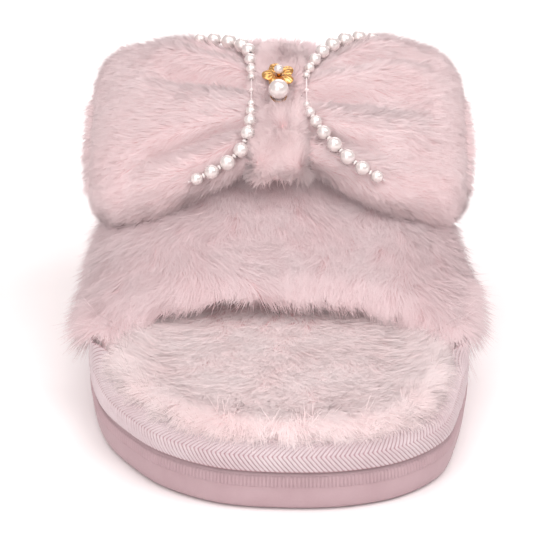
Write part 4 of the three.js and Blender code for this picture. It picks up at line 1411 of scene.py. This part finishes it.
@dataclass
class Knot:
    """The band round the bow's middle, in mm."""

    frame: BowFrame
    cover: float = 1.2
    band: float = 3.5
    rear_drop: float = 2.3
    waist: float = 6.5
    waist_edge: tuple[float, float] = (2.5, 5.0)
    rear_clip: tuple[float, float] = (14.0, 23.0)
    pile: Pile = Pile(34000, 5.2, 0.32, 40, 14, 2.2, 0.2, 0.35, 0.5, 97)

    def build(self, finishes: Finishes) -> None:
        """Makes the band's ground with its fold, and the pile on its outer face."""
        angle = np.linspace(0, 2 * math.pi, 160, endpoint=False)
        bow = self.frame
        rows = []
        section = [(-1, self.band), (-1, 2.2), (-0.97, 1.4), (-0.88, 0.7), (-0.72, 0.25)]
        section += [(x, 0.0) for x in np.linspace(-0.55, 0.55, 17)]
        section += [(-x, d) for x, d in section[4::-1]]
        for x, depth in section:
            fold = 1.3 * math.exp(-(((x - 0.42) / 0.13) ** 2)) - 0.35 * math.exp(-(((x - 0.05) / 0.3) ** 2))
            sunk = self.cover + depth * 0.7 + fold * smooth(np.sin(angle), 0.15, 0.6)
            deep = bow.knot_deep - sunk - self.rear_drop * (np.cos(angle) < 0)
            v = deep * signed_power(np.cos(angle), 2 / bow.knot_power)
            n = (bow.knot_thick - sunk) * signed_power(np.sin(angle), 2 / bow.knot_power)
            rows.append(bow.point(x * (bow.knot_half(v) - 0.2), v, n))
        skin = Skin(np.stack(rows) * MM, round_trip=True)
        ground = skin.mesh("bow_knot_plush_ground")
        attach(dress(ground, finishes.get(PILE_GROUND)), Body.SLIPPER.value)
        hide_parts("bow_knot_band")
        rng = np.random.default_rng(self.pile.seed)
        outside = ((skin.normals[1:, :] * bow.out).sum(-1) > -0.25).astype(float)
        roots, normals = skin.scatter(strands(self.pile.count), rng, outside)
        comb = np.tile(bow.down * 0.5, (len(roots), 1)) + 0.9 * lattice_noise(roots, 0.012, 33)
        place = roots / MM
        down = (place - bow.middle) @ bow.down
        waist = np.exp(-((down / self.waist) ** 2)) * smooth(np.abs(place[:, 0]), *self.waist_edge)
        comb[:, 0] += 2.5 * np.sign(place[:, 0]) * waist
        rear = smooth(-down, *self.rear_clip)
        grown = (1 + 0.25 * waist) * (1 - 0.4 * rear)
        fur = self.pile.grow("bow_knot_plush_pile", roots, normals, comb, grown, 1 - 0.5 * waist)
        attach(dress(fur, finishes.get(KNOT_PILE)), Body.SLIPPER.value)


# ---- pearls and brooch -----------------------------------------------------------------------
def turned_body(profile: list[tuple[float, float]], sides: int) -> tuple[np.ndarray, np.ndarray]:
    """Turns a profile of radius and height about the upright axis.

    Args:
        profile: radius and height, from the bottom's middle to the top's middle.
        sides: how many steps round.

    Returns:
        Points and quads.
    """
    angle = np.linspace(0, 2 * math.pi, sides, endpoint=False)
    rings = []
    for radius, height in profile:
        rings.append(
            np.column_stack([radius * np.cos(angle), radius * np.sin(angle), np.full(sides, height)])
        )
    return np.vstack(rings), grid_faces(len(profile), sides, True)


def ball_profile(radius: float, steps: int, hole: float = 0.01) -> list[tuple[float, float]]:
    """A ball's profile with a small hole drilled through it."""
    open_angle = math.asin(hole / radius)
    angles = np.linspace(open_angle, math.pi - open_angle, steps)
    return [(radius * math.sin(a), -radius * math.cos(a)) for a in angles]


def turned_to(points: np.ndarray, axis: np.ndarray, place: np.ndarray) -> np.ndarray:
    """Turns a shape's upright axis to a direction and moves it to a place."""
    turn = Vector((0, 0, 1)).rotation_difference(Vector(axis)).to_matrix()
    return points @ np.array(turn).T + place


@dataclass
class PearlString:
    """A row of graded pearls beside the knot with seed beads between them, in mm."""

    frame: BowFrame
    side: Side
    sizes: tuple[float, ...] = (3.4, 4.1, 4.4, 4.3, 4.0, 3.5, 2.9, 2.2)
    hole: float = 0.6
    thread: float = 0.22

    def build(self, finishes: Finishes) -> None:
        """Strings the pearls from the CAD's own places, with smooth balls and seed beads."""
        word = self.side.word
        body = self.side.body.value
        places = []
        for number in range(1, 17):
            low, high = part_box(f"{word}_pearl_{number:02d}")
            places.append(np.array((low + high) / 2) / MM)
        places = np.array(places)
        sizes = np.array([*self.sizes, *self.sizes[::-1]])
        along = unit(np.gradient(places, axis=0))
        pearls = []
        faces = []
        for i, (place, size) in enumerate(zip(places, sizes)):
            shape, quads = turned_body(ball_profile(size / 2, 15, self.hole * 0.8), 26)
            faces.append(quads + i * len(shape))
            pearls.append(turned_to(shape, along[i], place))
        row = add_mesh(f"{word}_pearl_row", np.vstack(pearls) * MM, faces)
        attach(dress(row, finishes.get(PEARL_LACQUER)), body)
        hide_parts(*[f"{word}_pearl_{n:02d}" for n in range(1, 17)])
        self._seeds(finishes, places, sizes, body)
        self._thread(finishes, places, along, body)

    def _seeds(
        self, finishes: Finishes, places: np.ndarray, sizes: np.ndarray, body: str
    ) -> None:
        """Threads a small flat bead in each gap between two pearls."""
        points = []
        faces = []
        for i in range(len(places) - 1):
            line = unit((places[i + 1] - places[i])[None])[0]
            gap = np.linalg.norm(places[i + 1] - places[i]) - (sizes[i] + sizes[i + 1]) / 2
            at = places[i] + line * (sizes[i] / 2 + gap / 2)
            shape, quads = turned_body(ball_profile(0.72, 9, 0.25), 14)
            shape = shape * np.array([1, 1, 0.62])
            faces.append(quads + i * len(shape))
            points.append(turned_to(shape, line, at))
        seeds = add_mesh(f"{self.side.word}_seed_beads", np.vstack(points) * MM, faces)
        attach(dress(seeds, finishes.get(SEED_GLASS)), body)

    def _thread(
        self, finishes: Finishes, places: np.ndarray, along: np.ndarray, body: str
    ) -> None:
        """Makes the two-ply thread through the pearls, ending where it is sewn down."""
        word = self.side.word
        low, high = (np.array(c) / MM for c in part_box(f"{word}_pearl_thread"))
        head = places[0] - along[0] * 2.6
        tail = places[-1] + along[-1] * 2.2
        head = np.clip(head, low + self.thread, high - self.thread)
        tail = np.clip(tail, low + self.thread, high - self.thread)
        line = np.vstack([head, places, tail])
        t = np.arange(len(line))
        fine = np.linspace(0, len(line) - 1, 180)
        path = np.stack([np.interp(fine, t, line[:, k]) for k in range(3)], 1)
        tangent = unit(np.gradient(path, axis=0))
        across = unit(np.cross(self.frame.out, tangent))
        up = np.cross(tangent, across)
        angle = np.linspace(0, 2 * math.pi, 12, endpoint=False)
        twist = fine[:, None] * 5 + angle[None]
        radius = self.thread * (0.8 + 0.2 * np.abs(np.cos(twist)))
        ring = across[:, None] * np.cos(angle)[None, :, None] + up[:, None] * np.sin(angle)[None, :, None]
        skin = Skin((path[:, None] + ring * radius[..., None]) * MM, round_trip=True, turn=-1)
        thread = skin.mesh(f"{word}_bead_thread")
        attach(dress(thread, finishes.get(SEWING_THREAD)), body)
        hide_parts(f"{word}_pearl_thread")


@dataclass
class Brooch:
    """The gilt flower that turns on its post, and the pearl in its cup below, in mm."""

    frame: BowFrame
    post_v: float = -4.2
    seat: float = 8.3
    flower: float = 4.7
    flower_thick: float = 1.2
    pearl: float = 2.8
    petals: int = 5

    def _place(self, points: np.ndarray, v: float) -> np.ndarray:
        """Stands a shape made about the upright axis out of the bow's slope."""
        at = self.frame.point(np.array(0.0), np.array(v), np.array(0.0))
        return turned_to(points, self.frame.out, at) * MM

    def _turned(
        self, name: str, profile: list[tuple[float, float]], v: float, sides: int = 40
    ) -> Piece:
        """Makes a turned piece at a place on the knot."""
        points, faces = turned_body(profile, sides)
        piece = add_mesh(name, self._place(points, v), [faces])
        crease_shading(piece, 40)
        return piece

    def build(self, finishes: Finishes) -> None:
        """Makes the flower and its centre bead, then the pearl and its cup."""
        gold = finishes.get(GOLD_PLATE)
        back = self.seat + 1.1
        petals = self._petals(back)
        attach(dress(petals, gold), Body.BROOCH.value)
        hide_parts("brooch_flower")
        bead_seat = back + self.flower_thick + 0.3
        centre = [(r, n + bead_seat + 1.06) for r, n in ball_profile(1.3, 17)]
        bead = self._turned("brooch_centre_bead", centre, self.post_v)
        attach(dress(bead, finishes.get(PEARL_LACQUER)), Body.BROOCH.value)
        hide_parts("brooch_bead")
        pearl_v = self.post_v + self.flower + self.pearl + 0.5
        middle = self.seat + 0.9 + self.pearl
        ball = [(r, n + middle) for r, n in ball_profile(self.pearl, 25)]
        pearl = self._turned("brooch_large_pearl", ball, pearl_v, 48)
        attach(dress(pearl, finishes.get(PEARL_LACQUER)), Body.SLIPPER.value)
        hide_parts("brooch_pearl")
        seat = self.seat
        wall = [
            (0.01, seat), (1.7, seat), (2.0, seat + 0.25), (2.3, seat + 0.7), (2.32, seat + 1.0),
            (2.2, seat + 1.2), (2.05, seat + 1.15), (1.75, seat + 0.8), (1.4, seat + 0.6),
            (0.01, seat + 0.6),
        ]
        cup = self._turned("brooch_pearl_cup_milled", wall, pearl_v)
        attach(dress(cup, gold), Body.SLIPPER.value)
        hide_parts("brooch_pearl_cup")

    def _petals(self, back: float) -> Piece:
        """Five domed petals with a vein, in one casting with a bevelled rim."""
        angle = np.linspace(0, 2 * math.pi, 200, endpoint=False)
        wave = np.abs(np.cos(self.petals / 2 * angle))
        rim = self.flower - 1.15 * wave**3
        rows = []
        hole = 0.9
        for share in np.linspace(0, 1, 22):
            radius = hole + (rim - hole) * share
            dome = math.sin(math.pi * min(share * 0.92 + 0.04, 1)) ** 0.8
            cleft = np.exp(-((wave - 1) ** 2) / 0.02)
            vein = np.exp(-(wave**2) / 0.006)
            top = 0.35 + 0.95 * dome * (1 - 0.62 * cleft) - 0.16 * vein * dome
            rows.append(self._ring(radius, angle, back + top))
        for radius, height in ((rim - 0.02, 0.18), (rim - 0.25, 0.0), (np.full(200, hole), 0.0)):
            rows.append(self._ring(radius, angle, np.full(200, back + height)))
        rows.append(rows[0])
        points = np.stack(rows).reshape(-1, 3)
        place = self._place(points, self.post_v)
        faces = grid_faces(len(rows), 200, True)[:, ::-1]
        piece = add_mesh("brooch_petals", place, [faces])
        crease_shading(piece, 50)
        return piece

    @staticmethod
    def _ring(radius: np.ndarray, angle: np.ndarray, height: np.ndarray) -> np.ndarray:
        """One ring of the flower."""
        return np.column_stack([radius * np.cos(angle), radius * np.sin(angle), height])


# ---- hidden pieces kept from the frame -------------------------------------------------------
@dataclass
class InnerWorks:
    """CAD pieces whose shape is already right, which only get their materials."""

    plan: dict[str, object] = field(
        default_factory=lambda: {
            "midsole": MIDSOLE_FOAM,
            "bottom_filler": FILLER_FELT,
            "insole_board": FIBRE_BOARD,
            "strap_interlining": CUSHION_FOAM,
            "bow_pad": LINING_FLEECE,
            "bow_knot_core": STUFFING_FIBRE,
            "bow_tack_rear": SEWING_THREAD,
            "bow_tack_front": SEWING_THREAD,
            "brooch_post": GOLD_PLATE,
            "brooch_clutch": GOLD_PLATE,
        }
    )

    def build(self, finishes: Finishes) -> None:
        """Dresses each piece."""
        for name, kind in self.plan.items():
            piece = frame["nodes"][name]
            piece.data.materials.clear()
            piece.data.materials.append(finishes.get(kind))


# ---- studio ----------------------------------------------------------------------------------
@dataclass
class Studio:
    """A white sweep, soft lights and a long lens in front of the toe."""

    elevation: float = 24.0
    distance: float = 0.85
    lens: float = 199.6
    aim: tuple[float, float, float] = (-0.001, -0.040, 0.029)

    def build(self) -> None:
        """Sets the floor, the sky, four soft boxes and the camera."""
        floor = add_mesh(
            "studio_floor",
            np.array([[-12, -12, 0], [12, -12, 0], [12, 12, 0], [-12, 12, 0]], float),
            [np.array([[0, 1, 2, 3]])],
        )
        material, tree = start("studio_paper_matt")
        colour = ramp(tree, noise(tree, 25, 2.0), {0.3: "#fbfafa", 0.7: "#fefdfd"})
        surface(tree, {"Roughness": 0.95, "Specular IOR Level": 0.1}, {"Base Color": colour})
        floor.data.materials.append(material)
        world = bpy.data.worlds.new("studio_sky")
        bpy.context.scene.world = world
        world.use_nodes = True
        world.node_tree.nodes["Background"].inputs["Color"].default_value = linear("#fff3f2")
        world.node_tree.nodes["Background"].inputs["Strength"].default_value = 0.55
        self._soft_box("key_soft_box", (0.9, -0.7, 1.5), 1.2, 13.0)
        self._soft_box("top_soft_box", (-0.3, -0.45, 1.8), 1.8, 15.0)
        self._soft_box("front_soft_box", (-0.5, -1.6, 0.8), 1.4, 10.0)
        self._soft_box("rear_soft_box", (0.2, 1.7, 1.0), 1.4, 9.0)
        self._camera()
        bpy.context.scene.view_settings.view_transform = "Standard"

    def _soft_box(self, name: str, place: tuple[float, ...], size: float, power: float) -> None:
        """Adds a square light that faces the slipper."""
        light = bpy.data.lights.new(name, "AREA")
        light.size = size
        light.energy = power
        light.color = linear("#fffafa")[:3]
        lamp = bpy.data.objects.new(name, light)
        lamp.location = place
        toward = Vector((0, 0, 0.04)) - Vector(place)
        lamp.rotation_euler = toward.to_track_quat("-Z", "Y").to_euler()
        bpy.context.scene.collection.objects.link(lamp)

    def _camera(self) -> None:
        """Stands the camera in front of the toe, looking down a little."""
        camera = bpy.data.cameras.new("studio_camera")
        camera.lens = self.lens
        camera.sensor_width = 36
        camera.clip_end = 60
        eye = bpy.data.objects.new("studio_camera", camera)
        lean = math.radians(self.elevation)
        back = Vector((0, -math.cos(lean), math.sin(lean)))
        eye.location = Vector(self.aim) + back * self.distance
        eye.rotation_euler = (-back).to_track_quat("-Z", "Y").to_euler()
        bpy.context.scene.collection.objects.link(eye)
        bpy.context.scene.camera = eye


LEFT_PLEATS = (
    Pleat(100, 112, 0.02, 0.72, 4.2, 10),
    Pleat(62, 40, 0.05, 0.8, 3.6, 10),
    Pleat(138, 140, 0.02, 0.5, 2.6, 10),
)
RIGHT_PLEATS = (
    Pleat(112, 128, 0.15, 0.85, 3.4, 9),
    Pleat(88, 92, 0.02, 0.85, 4.2, 9),
    Pleat(52, 44, 0.02, 0.6, 3.0, 10),
)


def main() -> None:
    """Builds the slipper from the floor up."""
    logging.basicConfig(level=logging.INFO, format="%(name)s: %(message)s")
    finishes = Finishes()
    last = Last()
    arch = Arch(last)
    bow = BowFrame(arch)
    Studio().build()
    pieces = [
        Sole(last),
        EdgeTape(last),
        Footbed(last),
        Strap(arch),
        Loop(bow, Side.LEFT, LEFT_PLEATS),
        Loop(bow, Side.RIGHT, RIGHT_PLEATS),
        Knot(bow),
        PearlString(bow, Side.LEFT),
        PearlString(bow, Side.RIGHT),
        Brooch(bow),
        InnerWorks(),
    ]
    before = set(bpy.data.objects)
    for piece in pieces:
        piece.build(finishes)
        made = sorted(o.name for o in set(bpy.data.objects) - before)
        before = set(bpy.data.objects)
        log.info("%s: %s", type(piece).__name__, ", ".join(made) or "materials only")


if __name__ == "__main__":
    main()
